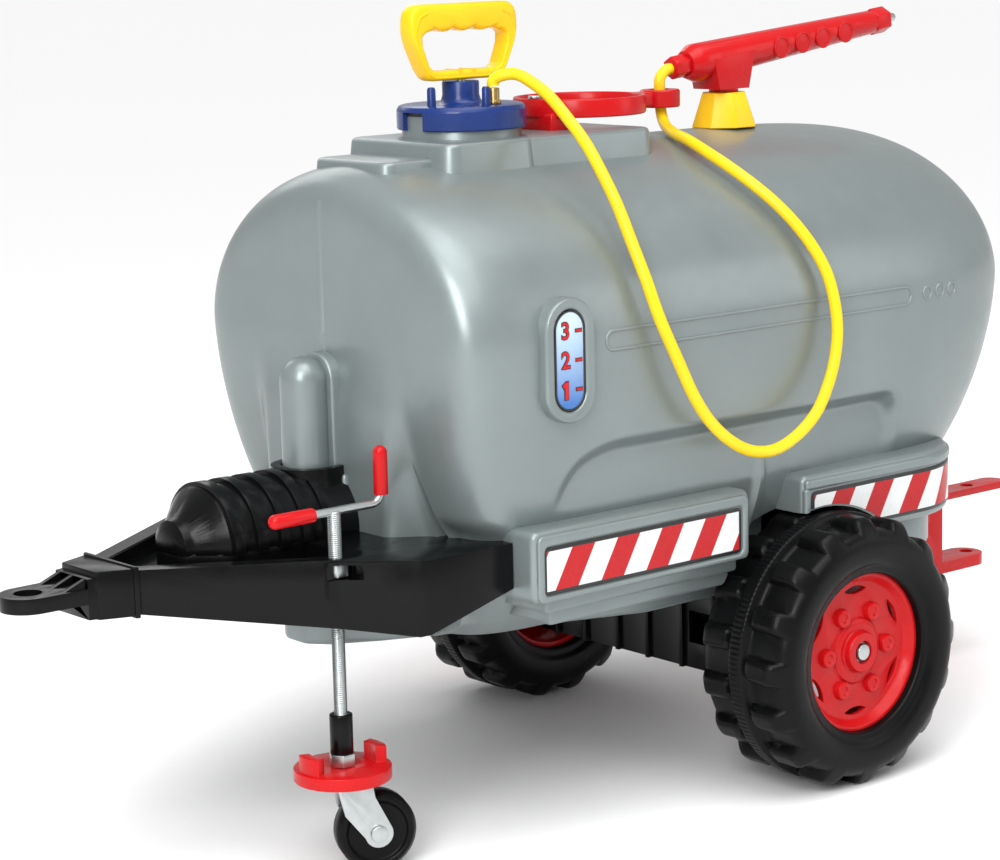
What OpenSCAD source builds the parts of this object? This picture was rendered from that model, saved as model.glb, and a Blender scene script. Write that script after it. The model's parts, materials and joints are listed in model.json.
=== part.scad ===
// Single-axle toy water bowser: blow-moulded tank trailer with a hand pump,
// hose, swivelling spray gun, jockey castor, tow eye and rear hitch.
// Millimetres. +Z is up, the tow eye points to -X, the rear hitch to +X.
// Sizes along X are measured from the road-wheel axle; place() centres the whole part.

/* [Road wheels] */
// outer radius of a tyre over its centre band
wheel_r = 105; // [95:1:115]
// width of a tyre
tyre_w = 92; // [80:1:96]
// half width of the trailer over both tyres
half_width = 226; // [222:1:236]
// radius of the tyre's bead on the rim
bead_r = 62; // [58:1:66]
// wall of the hollow tyre
tyre_wall = 5; // [4:0.5:8]
// number of lugs on each side of the tread
lug_count = 15; // [10:1:18]
// how far the lugs stand out of the tread
lug_h = 8; // [4:0.5:10]
// radius of the rim's hub
hub_r = 15; // [12:1:20]
// diameter of the axle
axle_d = 10; // [8:0.5:14]
// radial running clearance of turning and sliding pieces
run = 0.05; // [0.02:0.01:0.09]

/* [Tank] */
// reach of the tank's nose in front of the axle
tank_front = 345; // [335:1:355]
// reach of the tank's tail behind the axle
tank_rear = 279; // [265:1:285]
// half width of the tank at its widest level
tank_half_w = 170; // [166:1:174]
// height of the tank's widest level above the ground
tank_mid_z = 369; // [362:1:376]
// rise of the crown above the widest level
crown_h = 126; // [120:1:130]
// depth of the belly curve below the widest level
belly_h = 250; // [242:1:256]
// wall of the moulded shell
wall = 4; // [3:0.5:5]
// height of the flat belly above the ground
belly_z = 144; // [140:1:148]
// half width of the flat belly
belly_half_w = 122; // [116:1:125]
// radius of the wheel arch
arch_r = 108; // [107:0.5:112]

/* [Platform and neck] */
// front end of the platform on top
deck_x0 = -272; // [-280:1:-264]
// rear end of the platform on top
deck_x1 = -66; // [-80:1:-50]
// half width of the platform
deck_half_w = 62; // [56:1:68]
// height of the platform above the ground
deck_top = 503; // [499:1:507]
// place of the filler neck
neck_x = -209; // [-214:1:-204]
// outer radius of the filler neck
neck_r = 45; // [42:1:48]
// height of the neck above the platform
neck_h = 20; // [16:1:24]

/* [Pump] */
// thickness of the screw cap's top and skirt
cap_wall = 4; // [3:0.5:5]
// outer radius of the pump barrel
barrel_r = 17; // [14:1:20]
// radius of the pump rod
rod_r = 4; // [3:0.5:5]
// working stroke of the pump
stroke = 110; // [80:5:130]
// width of the pull handle
handle_w = 104; // [96:1:116]
// height of the pull handle
handle_h = 57; // [54:1:64]
// thickness of the pull handle
handle_t = 17; // [14:1:20]

/* [Drawbar] */
// top of the drawbar above the ground
bar_top = 229; // [225:1:233]
// wall of the drawbar moulding
bar_wall = 5; // [4:0.5:6]
// front end of the drawbar's arms
bar_front = -535; // [-540:1:-528]
// rear end of the drawbar's cheeks
bar_rear = -296; // [-300:1:-292]
// reach of the tow tongue ahead of the drawbar's arms
eye_reach = 87; // [77:1:97]
// radius of the tow eye's hole
eye_r = 10; // [7:0.5:12]
// thickness of the tow tongue
eye_t = 11; // [9:1:14]
// radius of the ribbed cover
cover_r = 41; // [38:1:44]
// number of ribs round the cover
cover_ribs = 5; // [3:1:7]

/* [Jockey castor] */
// place of the jockey screw along the trailer
jack_x = -412; // [-416:1:-408]
// place of the jockey screw across the trailer
jack_y = -97; // [-99:1:-94]
// radius of the jockey screw
jack_r = 5; // [4:0.5:6]
// radius of the castor wheel
castor_r = 29; // [26:1:32]
// width of the castor wheel
castor_w = 20; // [16:1:24]
// trail of the castor wheel behind the jockey screw
trail = 22; // [18:1:26]
// radius of the castor plate
plate_r = 35; // [33:1:40]
// height of the crank bar above the ground
crank_z = 262; // [256:1:270]

/* [Spray gun] */
// place of the gun's pedestal
gun_x = 67; // [60:1:75]
// height of the pedestal
pedestal_h = 28; // [24:1:32]
// upward tilt of the gun
gun_tilt = 6.6; // [0:0.2:10]
// length of the gun's body
gun_len = 219; // [205:1:225]

/* [Rear hitch] */
// tip of the hitch's upper tongue behind the axle
hitch_tip = 415; // [405:1:425]
// place of the hitch pin behind the axle
hitch_pin_x = 370; // [362:1:376]
// radius of the hitch pin's holes
hitch_pin_r = 6; // [5:0.5:8]

/* [Hidden] */
$fn = 64;

// small gap between pieces that pass each other, and the way one cut runs through a face
gap = 0.3;
cut = 1;

// whole-part frame: midway between the tow tongue's tip and the hitch's tip
eye_tip = bar_front - eye_reach;
shift_x = -(eye_tip + hitch_tip) / 2;
axle_z = wheel_r;
axle_r = axle_d / 2;

// tank form: middle of the plan, and the powers of its rounded outlines
tank_mid_x = -22;
front_pow = 12;
rear_pow = 4.2;
crown_pow = 1.9;
belly_pow = 2.4;
front_draft = 0.17;
rear_draft = 0.335;
ring_points = 36;
front_scale = [0.25, 0.5, 0.7, 0.8, 0.87, 0.92, 0.955, 0.98, 0.994];
rear_scale = [0.997, 0.985, 0.95, 0.89, 0.8, 0.68, 0.52, 0.3];

// flat belly with its boat-shaped bow, as half outlines from bow to stern
bow_x = -381;
stern_x = 225;
notch_z = bar_top;
notch_x = bar_rear + 1;

// fenders and hazard panels
fender_y = tank_half_w + 4;
fender_in = 130;
fender_z0 = 186;
fender_z1 = 238;
arch_y = half_width - tyre_w - 6;
panel_t = 1;
panel_z0 = 192;
panel_z1 = 227;
rear_bend_x = 115;
rear_bend_r = 75;
strip_z0 = 163;
strip_y = 155;

// gauge and ribs on the flanks
gauge_x = -258;
gauge_z = 358;
gauge_w = 46;
gauge_h = 90;
gauge_rim = 9;
boss_out = tank_half_w + 6;
bar_x0 = -218;
bar_x1 = 105;
bar_z = 367;

// nose pillar
pillar_x = -362;
pillar_r = 20.5;
pillar_top = 335;

// neck and pump
neck_top = deck_top + neck_h;
neck_bore = neck_r - 6;
seal_t = 3;
cap_under = neck_top + seal_t;
cap_top = cap_under + cap_wall;
cap_r = neck_r + cap_wall - 0.2;
skirt_h = 18;
collar_h = 18;
barrel_in = barrel_r - 3;
foot_z = belly_z + wall + 4;
foot_h = 14;
piston_z = foot_z + foot_h + 70;
piston_h = 20;
handle_z = cap_top + collar_h;
spigot_x = neck_x + 7;
spigot_y = -30;
spigot_r = 4.5;
spigot_top = cap_top + 12;

// drawbar outline from the coupler out to the cheeks, and its underside
bar_nose_w = 28;
bar_mid_x = -416;
bar_mid_w = 107;
bar_corner_x = -377;
bar_corner_w = 147;
bar_cheek_w = 152;
bar_low_front = 198;
bar_low_corner = 174;
bar_low_rear = 196;
tenon_w = 16;
tenon_len = 28;
coupler_x = bar_front - 32;
coupler_z0 = 198;
coupler_z1 = 227;
coupler_w0 = 21;
coupler_w1 = 29;
tenon_z0 = 204;
tenon_z1 = 220;
bolt_x = bar_front - 15;
bolt_z = (tenon_z0 + tenon_z1) / 2;
bolt_seat = 23;
tongue_z0 = 209;
tongue_w = 20;
cover_z = 232;
cover_wall = 3;
cover_nose_x = -488;
cover_rear_x = -346;
rib_step = 19.7;
rib_w = 9;
collar_r = 28;

// jockey parts from the ground up
castor_axle_z = castor_r;
castor_turn = -24;
fork_z = 2 * castor_r + 8;
fork_t = 2.5;
plate_z0 = fork_z + fork_t + gap;
plate_t = 9;
plate_top = plate_z0 + plate_t;
stem_nut_z = plate_top + gap;
stem_nut_h = 9;
sleeve_z = stem_nut_z + stem_nut_h;
sleeve_h = 29;
nut_z = 216;
nut_h = 9;
nut_r = 9.5;
crank_r = 3;
crank_left = 52;
crank_right = 42;
crank_up = 38;

// wheels: depths are counted from the tyre's outer face inwards
disc_w = 19;
barrel_w0 = 12;
barrel_w1 = tyre_w - 12;
hub_w0 = 16;
hub_w1 = tyre_w - 4;
band_w = 12;
lug_turn = 11;

// axle carrier under the belly
carrier_x = 40;
carrier_y = half_width - tyre_w - 16;
carrier_z0 = 72;
carrier_wall = 5;
post_x = 26;
post_y = carrier_y - 20;
post_r = 8;
screw_r = 2.5;

// rear hitch
web_x0 = 286;
web_x1 = web_x0 + 32;
tongue_up_z = 145;
tongue_up_t = 6;
tongue_up_w = 12;
tongue_low_z = 80;
tongue_low_t = 10;
tongue_low_w = 17;
low_tip = hitch_tip - 32;
foot_x0 = 140;
foot_t = 10;

// gun
pedestal_z = tank_mid_z + crown_h;
gun_seat = pedestal_z + pedestal_h;
gun_ax_x = 24;
gun_ax_z = 546.8;
gun_r0 = 15.5;
gun_r1 = 10;
nut_len = 16;
lobes = [0.443 * gun_len, 0.562 * gun_len, 0.676 * gun_len, 0.804 * gun_len];
pivot_r = 4;

// hose guide on the platform
guide_x = -90;
guide_r = 52;
guide_wall = 11;
guide_z = deck_top + 12;
guide_h = 14;
guide_eye_x = -4;

// the hose: route points chosen by hand, from the pump's spigot to the gun
hose_r = 4.5;
hose_sides = 10;
hose_route = [[spigot_x, spigot_y, spigot_top + 1], [spigot_x, spigot_y, spigot_top + 5], [-199, -35, 551],
    [-192, -45, 552],
    [-188, -58, 546], [-185, -74, 536], [-184, -92, 521], [-183, -110, 504], [-183, -126, 485], [-183, -144, 460],
    [-184, -160, 434], [-183, -174, 407], [-178, -182, 380], [-163, -186, 346], [-150, -187, 321],
    [-134, -187, 300], [-114, -187, 283], [-92, -187, 272], [-68, -187, 269], [-44, -187, 276],
    [-22, -187, 291], [-8, -186, 310], [1, -185, 330], [5, -184, 352], [5, -181, 374], [2, -176, 395],
    [-4, -168, 414], [-12, -156, 433], [-20, -142, 449], [-28, -126, 463], [-34, -108, 475], [-37, -88, 485],
    [-34, -64, 493], [-25, -38, 497], [-13, -15, 502], [guide_eye_x - 2, -3, 512], [guide_eye_x, 0, 525],
    [-4, 0, 537], [2, 0, 543.5], [7.6, 0, 544.8]];

function sgn_pow(v, p) = sign(v) * pow(abs(v), p);

// one ring of the tank: scale of the section and side (-1 front, 1 rear), taken in by inset
function tank_ring(scale, side, inset) =
    let (pw = side < 0 ? front_pow : rear_pow,
        reach = (side < 0 ? tank_front + tank_mid_x : tank_rear - tank_mid_x) - inset,
        draft = side < 0 ? front_draft : rear_draft,
        along = pow(1 - pow(scale, pw), 1 / pw))
    [for (i = [0 : ring_points - 1])
        let (a = 360 * i / ring_points,
            pz = sin(a) >= 0 ? crown_pow : belly_pow,
            up = (sin(a) >= 0 ? crown_h : belly_h) - inset,
            y = (tank_half_w - inset) * scale * sgn_pow(cos(a), 2 / pz),
            z = up * scale * sgn_pow(sin(a), 2 / pz),
            fall = pow(max(0, -z / belly_h), 1.5))
        [tank_mid_x + side * reach * along * (1 - draft * fall), y, tank_mid_z + z]];

function tank_points(inset) = concat(
    [[-tank_front + inset, 0, tank_mid_z]],
    [for (s = front_scale) each tank_ring(s, -1, inset)],
    tank_ring(1, 1, inset),
    [for (s = rear_scale) each tank_ring(s, 1, inset)],
    [[tank_rear - inset, 0, tank_mid_z]]);

// faces of a tube of rings closed by a single point at each end
function capped_faces(rings, n) =
    let (last = rings * n + 1)
    concat(
        [for (i = [0 : n - 1]) [0, 1 + i, 1 + (i + 1) % n]],
        [for (r = [0 : rings - 2], i = [0 : n - 1])
            let (a = 1 + r * n + i, b = 1 + r * n + (i + 1) % n) each [[b, a, b + n], [b + n, a, a + n]]],
        [for (i = [0 : n - 1])
            let (a = 1 + (rings - 1) * n + i, b = 1 + (rings - 1) * n + (i + 1) % n) [b, a, last]]);

module tank_form(inset) {
    rings = len(front_scale) + len(rear_scale) + 1;
    polyhedron(points = tank_points(inset), faces = capped_faces(rings, ring_points), convexity = 4);
}

module both_sides() {
    children();
    mirror([0, 1, 0]) children();
}

// the belly's outline seen from above, taken in by inset
function belly_half(inset) = [[bow_x + inset, 12 - inset / 2], [bow_x + 13, 28 - inset], [-335, 46 - inset],
    [-225, 92 - inset], [-140, belly_half_w - inset], [150, belly_half_w - inset], [stern_x - 30, 96 - inset],
    [stern_x - inset, 58 - inset]];

module belly_plan(inset) {
    half = belly_half(inset);
    n = len(half);
    polygon(concat(half, [for (i = [0 : n - 1]) [half[n - 1 - i][0], -half[n - 1 - i][1]]]));
}

module slab(x0, x1, w, z0, z1) {
    translate([x0, -w, z0]) cube([x1 - x0, 2 * w, z1 - z0]);
}

module rounded_slab(x0, x1, w, z0, z1, r) {
    slab(x0 + r, x1 - r, w, z0, z1);
    slab(x0, x1, w - r, z0, z1);
    for (x = [x0 + r, x1 - r], y = [r - w, w - r]) translate([x, y, z0]) cylinder(r = r, h = z1 - z0);
}

// a flat piece with round ends standing on the side of the tank
module side_stadium(x, z, w, h, y0, y1) {
    r = min(w, h) / 2;
    dx = w / 2 - r;
    dz = h / 2 - r;
    translate([x, -y0, z]) rotate([90, 0, 0]) linear_extrude(y1 - y0) {
        square([w - 2 * r + 0.002, h], center = true);
        square([w, h - 2 * r + 0.002], center = true);
        for (sx = [-1, 1], sz = [-1, 1]) translate([sx * dx, sz * dz]) circle(r);
    }
}

module fender(inset) {
    y = fender_y - inset;
    // front panel box
    translate([bar_rear + 1.5 + inset, fender_in - 20, fender_z0 + inset])
        cube([-bar_rear - 76.5 - 2 * inset, y - fender_in + 20, fender_z1 - fender_z0 - 2 * inset]);
    // rear panel box with its rounded corner
    translate([-20 + inset, fender_y - rear_bend_r, fender_z0 + inset])
        cube([rear_bend_x + 20 - inset, rear_bend_r - inset, fender_z1 - fender_z0 - 2 * inset]);
    // stepped strip under the front panel
    translate([-265 + inset, 100, strip_z0 + inset])
        cube([185 - 2 * inset, strip_y - 100 - inset, fender_z0 + 10 - strip_z0]);
    translate([rear_bend_x, fender_y - rear_bend_r, fender_z0 + inset])
        cylinder(r = rear_bend_r - inset, h = fender_z1 - fender_z0 - 2 * inset);
}

module arch(grow) {
    translate([0, arch_y - grow, axle_z]) rotate([-90, 0, 0]) cylinder(r = arch_r + grow, h = 140);
}

module tank_screw_places() {
    for (x = [-post_x, post_x], y = [-post_y, post_y]) translate([x, y, belly_z]) children();
    hitch_screw_places() translate([0, 0, belly_z]) children();
}

module hitch_screw_places() {
    for (x = [foot_x0 + 12, foot_x0 + 52], y = [-20, 20]) translate([x, y, 0]) children();
}

module bar_screw_places() {
    for (x = [-314], y = [-118, -76, 76, 118]) translate([x, y, bar_top]) children();
}

module tank_outside() {
    difference() {
        tank_form(0);
        translate([-500, -250, 0]) cube([500 + notch_x, 500, notch_z]);
        translate([-500, -250, 0]) cube([1000, 500, belly_z]);
    }
    translate([0, 0, belly_z]) linear_extrude(bar_top - 0.5 - belly_z) belly_plan(0);
    slab(notch_x, 190, 96, 200, 262);
    both_sides() {
        fender(0);
        side_stadium((bar_x0 + bar_x1) / 2, bar_z, bar_x1 - bar_x0, 12, -tank_half_w - 2.5, -150);
    }
    rounded_slab(deck_x0, deck_x1, deck_half_w, 455, deck_top, 14);
    translate([neck_x, 0, deck_top - cut]) cylinder(r = neck_r, h = neck_h + cut);
    translate([gun_x, 0, 470]) cylinder(r = 29, h = pedestal_z - 470);
    translate([pillar_x, 0, bar_top]) cylinder(r = pillar_r, h = pillar_top - bar_top);
    translate([pillar_x, 0, pillar_top]) sphere(pillar_r);
    translate([pillar_x, -pillar_r, bar_top]) cube([pillar_r + 22, 2 * pillar_r, pillar_top - bar_top]);
    side_stadium(gauge_x, gauge_z, gauge_w, gauge_h, 150, boss_out);
}

module tank_inside() {
    difference() {
        union() {
            difference() {
                tank_form(wall);
                translate([-500, -250, 0]) cube([500 + notch_x + wall, 500, notch_z + wall]);
                translate([-500, -250, 0]) cube([1000, 500, belly_z + wall]);
            }
            translate([0, 0, belly_z + wall]) linear_extrude(bar_top - belly_z - 2 * wall) belly_plan(wall);
            slab(notch_x + wall, 190 - wall, 96 - wall, 200, 262);
            both_sides() fender(wall);
            rounded_slab(deck_x0 + wall, deck_x1 - wall, deck_half_w - wall, 440, deck_top - wall, 10);
        }
        both_sides() arch(wall);
        tank_screw_places() cylinder(r = post_r, h = 22);
        bar_screw_places() cylinder(r = post_r, h = 26);
        translate([gun_x, 0, 470]) cylinder(r = 12, h = 60);
        side_stadium(gauge_x, gauge_z, gauge_w, gauge_h, 148, 200);
    }
}

module tank_shell() {
    color("#a3a9a9") difference() {
        tank_outside();
        tank_inside();
        both_sides() arch(0);
        translate([neck_x, 0, deck_top - 40]) cylinder(r = neck_bore, h = 100);
        side_stadium(gauge_x, gauge_z, gauge_w - 2 * gauge_rim, gauge_h - 2 * gauge_rim,
            boss_out - 5, boss_out + 30);
        tank_screw_places() translate([0, 0, -cut]) cylinder(r = screw_r, h = 16 + cut);
        bar_screw_places() translate([0, 0, -cut]) cylinder(r = screw_r, h = 18 + cut);
        translate([gun_x, 0, pedestal_z - 14]) cylinder(r = pivot_r, h = 40);
        translate([guide_x - guide_r + 6, 0, deck_top - wall - cut]) cylinder(r = screw_r, h = 40);
    }
}

module level_gauge() {
    color("#6fa3d8") side_stadium(gauge_x, gauge_z, gauge_w - 2 * gauge_rim, gauge_h - 2 * gauge_rim,
        boss_out - 5, boss_out - 2);
}

module panel_front() {
    color("#d8262c") translate([bar_rear + 13, -fender_y - panel_t, panel_z0])
        cube([-bar_rear - 105, panel_t, panel_z1 - panel_z0]);
}

module panel_rear() {
    color("#d8262c") difference() {
        union() {
            translate([-14, -fender_y - panel_t, panel_z0])
                cube([rear_bend_x + 14, panel_t, panel_z1 - panel_z0]);
            translate([rear_bend_x, rear_bend_r - fender_y, panel_z0]) rotate([0, 0, -90])
                rotate_extrude(angle = 52) translate([rear_bend_r, 0]) square([panel_t, panel_z1 - panel_z0]);
        }
        mirror([0, 1, 0]) arch(1);
    }
}

module panel_front_left() { panel_front(); }

module panel_front_right() { mirror([0, 1, 0]) panel_front(); }

module panel_rear_left() { panel_rear(); }

module panel_rear_right() { mirror([0, 1, 0]) panel_rear(); }

// drawbar outline seen from above, taken in by inset
function bar_half(inset) = [[bar_front + inset, bar_nose_w - inset], [bar_mid_x + inset, bar_mid_w - inset * 1.2],
    [bar_corner_x + inset, bar_corner_w - inset], [bar_corner_x + 6 + inset, bar_cheek_w - inset],
    [bar_rear - inset, bar_cheek_w - inset]];

module bar_plan(inset) {
    half = bar_half(inset);
    n = len(half);
    polygon(concat(half, [for (i = [0 : n - 1]) [half[n - 1 - i][0], -half[n - 1 - i][1]]]));
}

module bar_side() {
    translate([0, 200, 0]) rotate([90, 0, 0]) linear_extrude(400)
        polygon([[bar_front - cut, bar_top], [bar_rear + cut, bar_top], [bar_rear + cut, bar_low_rear],
            [bar_corner_x, bar_low_corner], [bar_front - cut, bar_low_front]]);
}

module drawbar() {
    color("#26282a") difference() {
        union() {
            intersection() {
                linear_extrude(bar_top) difference() {
                    bar_plan(0);
                    bar_plan(bar_wall);
                }
                bar_side();
            }
            translate([0, 0, bar_top - bar_wall]) linear_extrude(bar_wall) bar_plan(0);
            // tenon for the tow coupler, and the seat of the jockey nut
            slab(bar_front - tenon_len, bar_front + 30, tenon_w, tenon_z0, tenon_z1);
            translate([jack_x - 13, jack_y - 9, 203]) cube([26, 24, bar_top - 203 - cut]);
            // cross ribs under the deck
            for (x = [-500, -460]) slab(x, x + 4, bar_nose_w + (x - bar_front) * 0.6, 202, bar_top - cut);
        }
        // room for the tank's bow
        translate([0, 0, 100]) linear_extrude(200) belly_plan(-gap);
        // jockey screw, its nut and the window in the arm
        translate([jack_x, jack_y, 150]) cylinder(r = jack_r + 0.5, h = 100);
        translate([jack_x, jack_y, nut_z]) cylinder(r = nut_r, h = nut_h, $fn = 6);
        translate([jack_x - 8, jack_y - 40, nut_z]) cube([16, 40, nut_h]);
        bar_screw_places() translate([0, 0, -40]) cylinder(r = screw_r, h = 60);
        // bolt of the tow coupler
        translate([bolt_x, 60, bolt_z]) rotate([90, 0, 0]) cylinder(r = 4, h = 120);
    }
}

module screw(r, head_r, head_h, len) {
    cylinder(r = r, h = len);
    translate([0, 0, -head_h]) cylinder(r = head_r, h = head_h);
}

module drawbar_screws() {
    color("#b9bdc0") bar_screw_places() translate([0, 0, -bar_wall]) screw(screw_r, 5, 3, bar_wall + 16);
}

module cover_form(inset) {
    long = cover_rear_x - cover_nose_x;
    translate([cover_nose_x, 0, cover_z]) rotate([0, 90, 0]) {
        rotate_extrude() polygon([[0, inset], [14 - inset, inset], [20 - inset, 3 + inset], [22 - inset, 9 + inset],
            [cover_r - 5 - inset, 22 + inset], [cover_r - inset, 27 + inset], [cover_r - inset, long], [0, long]]);
        if (inset == 0) for (i = [0 : cover_ribs - 1])
            translate([0, 0, 29 + i * rib_step]) cylinder(r = cover_r + 3, h = rib_w);
    }
}

module ribbed_cover() {
    color("#26282a") difference() {
        union() {
            cover_form(0);
            translate([pillar_x, 0, bar_top]) cylinder(r = collar_r, h = 47);
        }
        difference() {
            cover_form(cover_wall);
            translate([pillar_x - pillar_r - 6, -60, 0]) cube([100, 120, 400]);
        }
        translate([-600, -100, 0]) cube([400, 200, bar_top]);
        translate([pillar_x, 0, 0]) cylinder(r = pillar_r, h = 400);
        translate([pillar_x, -pillar_r, 0]) cube([60, 2 * pillar_r, 400]);
        translate([cover_rear_x, -100, 0]) cube([100, 200, 400]);
        tank_form(-gap);
    }
}

module tow_coupler() {
    tip_x = eye_tip + tongue_w;
    color("#26282a") difference() {
        union() {
            translate([0, 0, coupler_z0]) linear_extrude(coupler_z1 - coupler_z0)
                polygon([[coupler_x, -coupler_w0], [bar_front, -coupler_w1], [bar_front, coupler_w1],
                    [coupler_x, coupler_w0]]);
            translate([0, 0, tongue_z0]) linear_extrude(eye_t) {
                translate([tip_x, 0]) circle(tongue_w);
                polygon([[tip_x, -tongue_w], [coupler_x + cut, -coupler_w0], [coupler_x + cut, coupler_w0],
                    [tip_x, tongue_w]]);
            }
            // gussets between the tongue and the block
            for (y = [-18, -2, 14]) translate([coupler_x + cut, y + 4, tongue_z0 + eye_t - cut])
                rotate([90, 0, 0]) linear_extrude(4) polygon([[0, 0], [-20, 0], [0, 8]]);
        }
        slab(bar_front - tenon_len, bar_front + cut, tenon_w, tenon_z0, tenon_z1);
        translate([tip_x, 0, tongue_z0 - cut]) cylinder(r = eye_r, h = eye_t + 2 * cut);
        translate([bolt_x, 60, bolt_z]) rotate([90, 0, 0]) cylinder(r = 4, h = 120);
        // flat seats for the bolt's head and nut
        both_sides() translate([bolt_x, bolt_seat, bolt_z]) rotate([-90, 0, 0]) cylinder(r = 8, h = 20);
    }
}

module coupler_bolt() {
    color("#b9bdc0") translate([bolt_x, bolt_seat, bolt_z]) rotate([90, 0, 0]) {
        cylinder(r = 4, h = 2 * bolt_seat);
        translate([0, 0, -5]) cylinder(r = 7, h = 5, $fn = 6);
        translate([0, 0, 2 * bolt_seat]) cylinder(r = 7, h = 5, $fn = 6);
    }
}

module at_jack() {
    translate([jack_x, jack_y, 0]) children();
}

module jockey_nut() {
    color("#b9bdc0") at_jack() translate([0, 0, nut_z]) difference() {
        cylinder(r = nut_r, h = nut_h, $fn = 6);
        translate([0, 0, -cut]) cylinder(r = jack_r + run, h = nut_h + 2 * cut);
    }
}

module jockey_screw() {
    color("#b9bdc0") at_jack() difference() {
        translate([0, 0, fork_z - 8]) cylinder(r = jack_r, h = crank_z + 5 - fork_z + 8);
        translate([-10, 0, crank_z]) rotate([0, 90, 0]) cylinder(r = crank_r, h = 20);
    }
}

module crank_bar() {
    color("#b9bdc0") at_jack() translate([0, 0, crank_z]) {
        translate([-crank_left, 0, 0]) rotate([0, 90, 0]) cylinder(r = crank_r, h = crank_left + crank_right);
        translate([crank_right, 0, 0]) sphere(crank_r);
        translate([crank_right, 0, 0]) cylinder(r = crank_r, h = crank_up);
    }
}

module grip(len) {
    difference() {
        union() {
            cylinder(r = 5.2, h = len - 2);
            translate([0, 0, len - 2]) cylinder(r = 4, h = 3);
        }
        translate([0, 0, -cut]) cylinder(r = crank_r, h = len - 1);
    }
}

module crank_grips() {
    color("#d8262c") at_jack() translate([0, 0, crank_z]) {
        translate([34 - crank_left, 0, 0]) rotate([0, -90, 0]) grip(36);
        translate([crank_right, 0, crank_up - 32]) grip(34);
    }
}

module spindle_sleeve() {
    color("#26282a") at_jack() translate([0, 0, sleeve_z]) difference() {
        cylinder(r = 8.3, h = sleeve_h);
        translate([0, 0, -cut]) cylinder(r = jack_r, h = sleeve_h + 2 * cut);
    }
}

module stem_nut() {
    color("#b9bdc0") at_jack() translate([0, 0, stem_nut_z]) difference() {
        cylinder(r = 9.8, h = stem_nut_h, $fn = 6);
        translate([0, 0, -cut]) cylinder(r = jack_r, h = stem_nut_h + 2 * cut);
    }
}

module castor_plate() {
    color("#d8262c") at_jack() translate([0, 0, plate_z0]) difference() {
        union() {
            cylinder(r = plate_r, h = plate_t);
            // two locking lugs on the rim
            for (a = [160, -28]) rotate([0, 0, a]) rotate_extrude(angle = 42)
                translate([plate_r - 11, plate_t - cut]) square([8, 13]);
        }
        translate([0, 0, -cut]) cylinder(r = jack_r + run, h = plate_t + 2 * cut);
    }
}

module kingpin_nut() {
    color("#b9bdc0") at_jack() translate([0, 0, fork_z - gap - 6]) difference() {
        cylinder(r = 9, h = 6, $fn = 6);
        translate([0, 0, -cut]) cylinder(r = jack_r, h = 6 + 2 * cut);
    }
}

module in_castor() {
    at_jack() rotate([0, 0, castor_turn]) children();
}

module castor_fork() {
    cheek = castor_w / 2 + 1.5;
    color("#c4cacc") in_castor() difference() {
        union() {
            translate([0, 0, fork_z]) linear_extrude(fork_t) {
                circle(cheek + fork_t);
                translate([-8, -cheek - fork_t]) square([26, 2 * (cheek + fork_t)]);
            }
            for (y = [-cheek, cheek + fork_t]) translate([0, y, 0]) rotate([90, 0, 0]) linear_extrude(fork_t) {
                polygon([[-8, fork_z + fork_t], [18, fork_z + fork_t], [20, fork_z - 10],
                    [trail + 9, castor_axle_z + 5], [trail - 5, castor_axle_z - 9], [-2, fork_z - 22]]);
                translate([trail, castor_axle_z]) circle(10.3);
            }
        }
        translate([0, 0, fork_z - cut]) cylinder(r = jack_r + run, h = fork_t + 2 * cut);
        translate([trail, 40, castor_axle_z]) rotate([90, 0, 0]) cylinder(r = 3, h = 80);
    }
}

module castor_axle() {
    len = castor_w + 3 + 2 * fork_t;
    color("#b9bdc0") in_castor() translate([trail, len / 2, castor_axle_z]) rotate([90, 0, 0]) {
        cylinder(r = 3, h = len);
        translate([0, 0, len]) cylinder(r = 6, h = 2.5);
        translate([0, 0, -4]) cylinder(r = 5.8, h = 4, $fn = 6);
    }
}

module castor_wheel() {
    h = castor_w / 2;
    color("#2b2d2f") in_castor() translate([trail, 0, castor_axle_z]) rotate([90, 0, 0]) difference() {
        rotate_extrude() polygon([[3 + run, -h - 1], [8, -h - 1], [8, -h + 3], [castor_r - 8, -h + 3],
            [castor_r - 6, -h], [castor_r - 3, -h], [castor_r, -h + 4], [castor_r, h - 4], [castor_r - 3, h],
            [castor_r - 6, h], [castor_r - 8, h - 3], [8, h - 3], [8, h + 1], [3 + run, h + 1]]);
    }
}

module axle() {
    color("#b9bdc0") translate([0, half_width - 12, axle_z]) rotate([90, 0, 0])
        cylinder(r = axle_r, h = 2 * (half_width - 12));
}

module axle_carrier() {
    color("#26282a") difference() {
        union() {
            difference() {
                slab(-carrier_x, carrier_x, carrier_y, carrier_z0, belly_z);
                slab(carrier_wall - carrier_x, carrier_x - carrier_wall, carrier_y - carrier_wall,
                    carrier_z0 + carrier_wall, belly_z + cut);
            }
            for (x = [-post_x, post_x], y = [-post_y, post_y]) translate([x, y, carrier_z0])
                cylinder(r = post_r, h = belly_z - carrier_z0);
            // bearing blocks for the axle and ribs on both long walls
            for (y = [-carrier_y, -40, 34, carrier_y - 6]) translate([-12, y, carrier_z0]) cube([24, 6, axle_z + 14 - carrier_z0]);
            for (x = [-carrier_x - 4, carrier_x], y = [2 - post_y, -60, -20, 16, 56, post_y - 6])
                translate([x, y, carrier_z0]) cube([4, 4, belly_z - carrier_z0]);
        }
        translate([0, 200, axle_z]) rotate([90, 0, 0]) cylinder(r = axle_r, h = 400);
        for (x = [-post_x, post_x], y = [-post_y, post_y]) translate([x, y, carrier_z0 - cut])
            cylinder(r = screw_r, h = 100);
        // windows in the front wall that show the axle
        for (y = [-92, 64]) translate([-carrier_x - 10, y, axle_z - 12]) cube([20, 28, 26]);
    }
}

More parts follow.
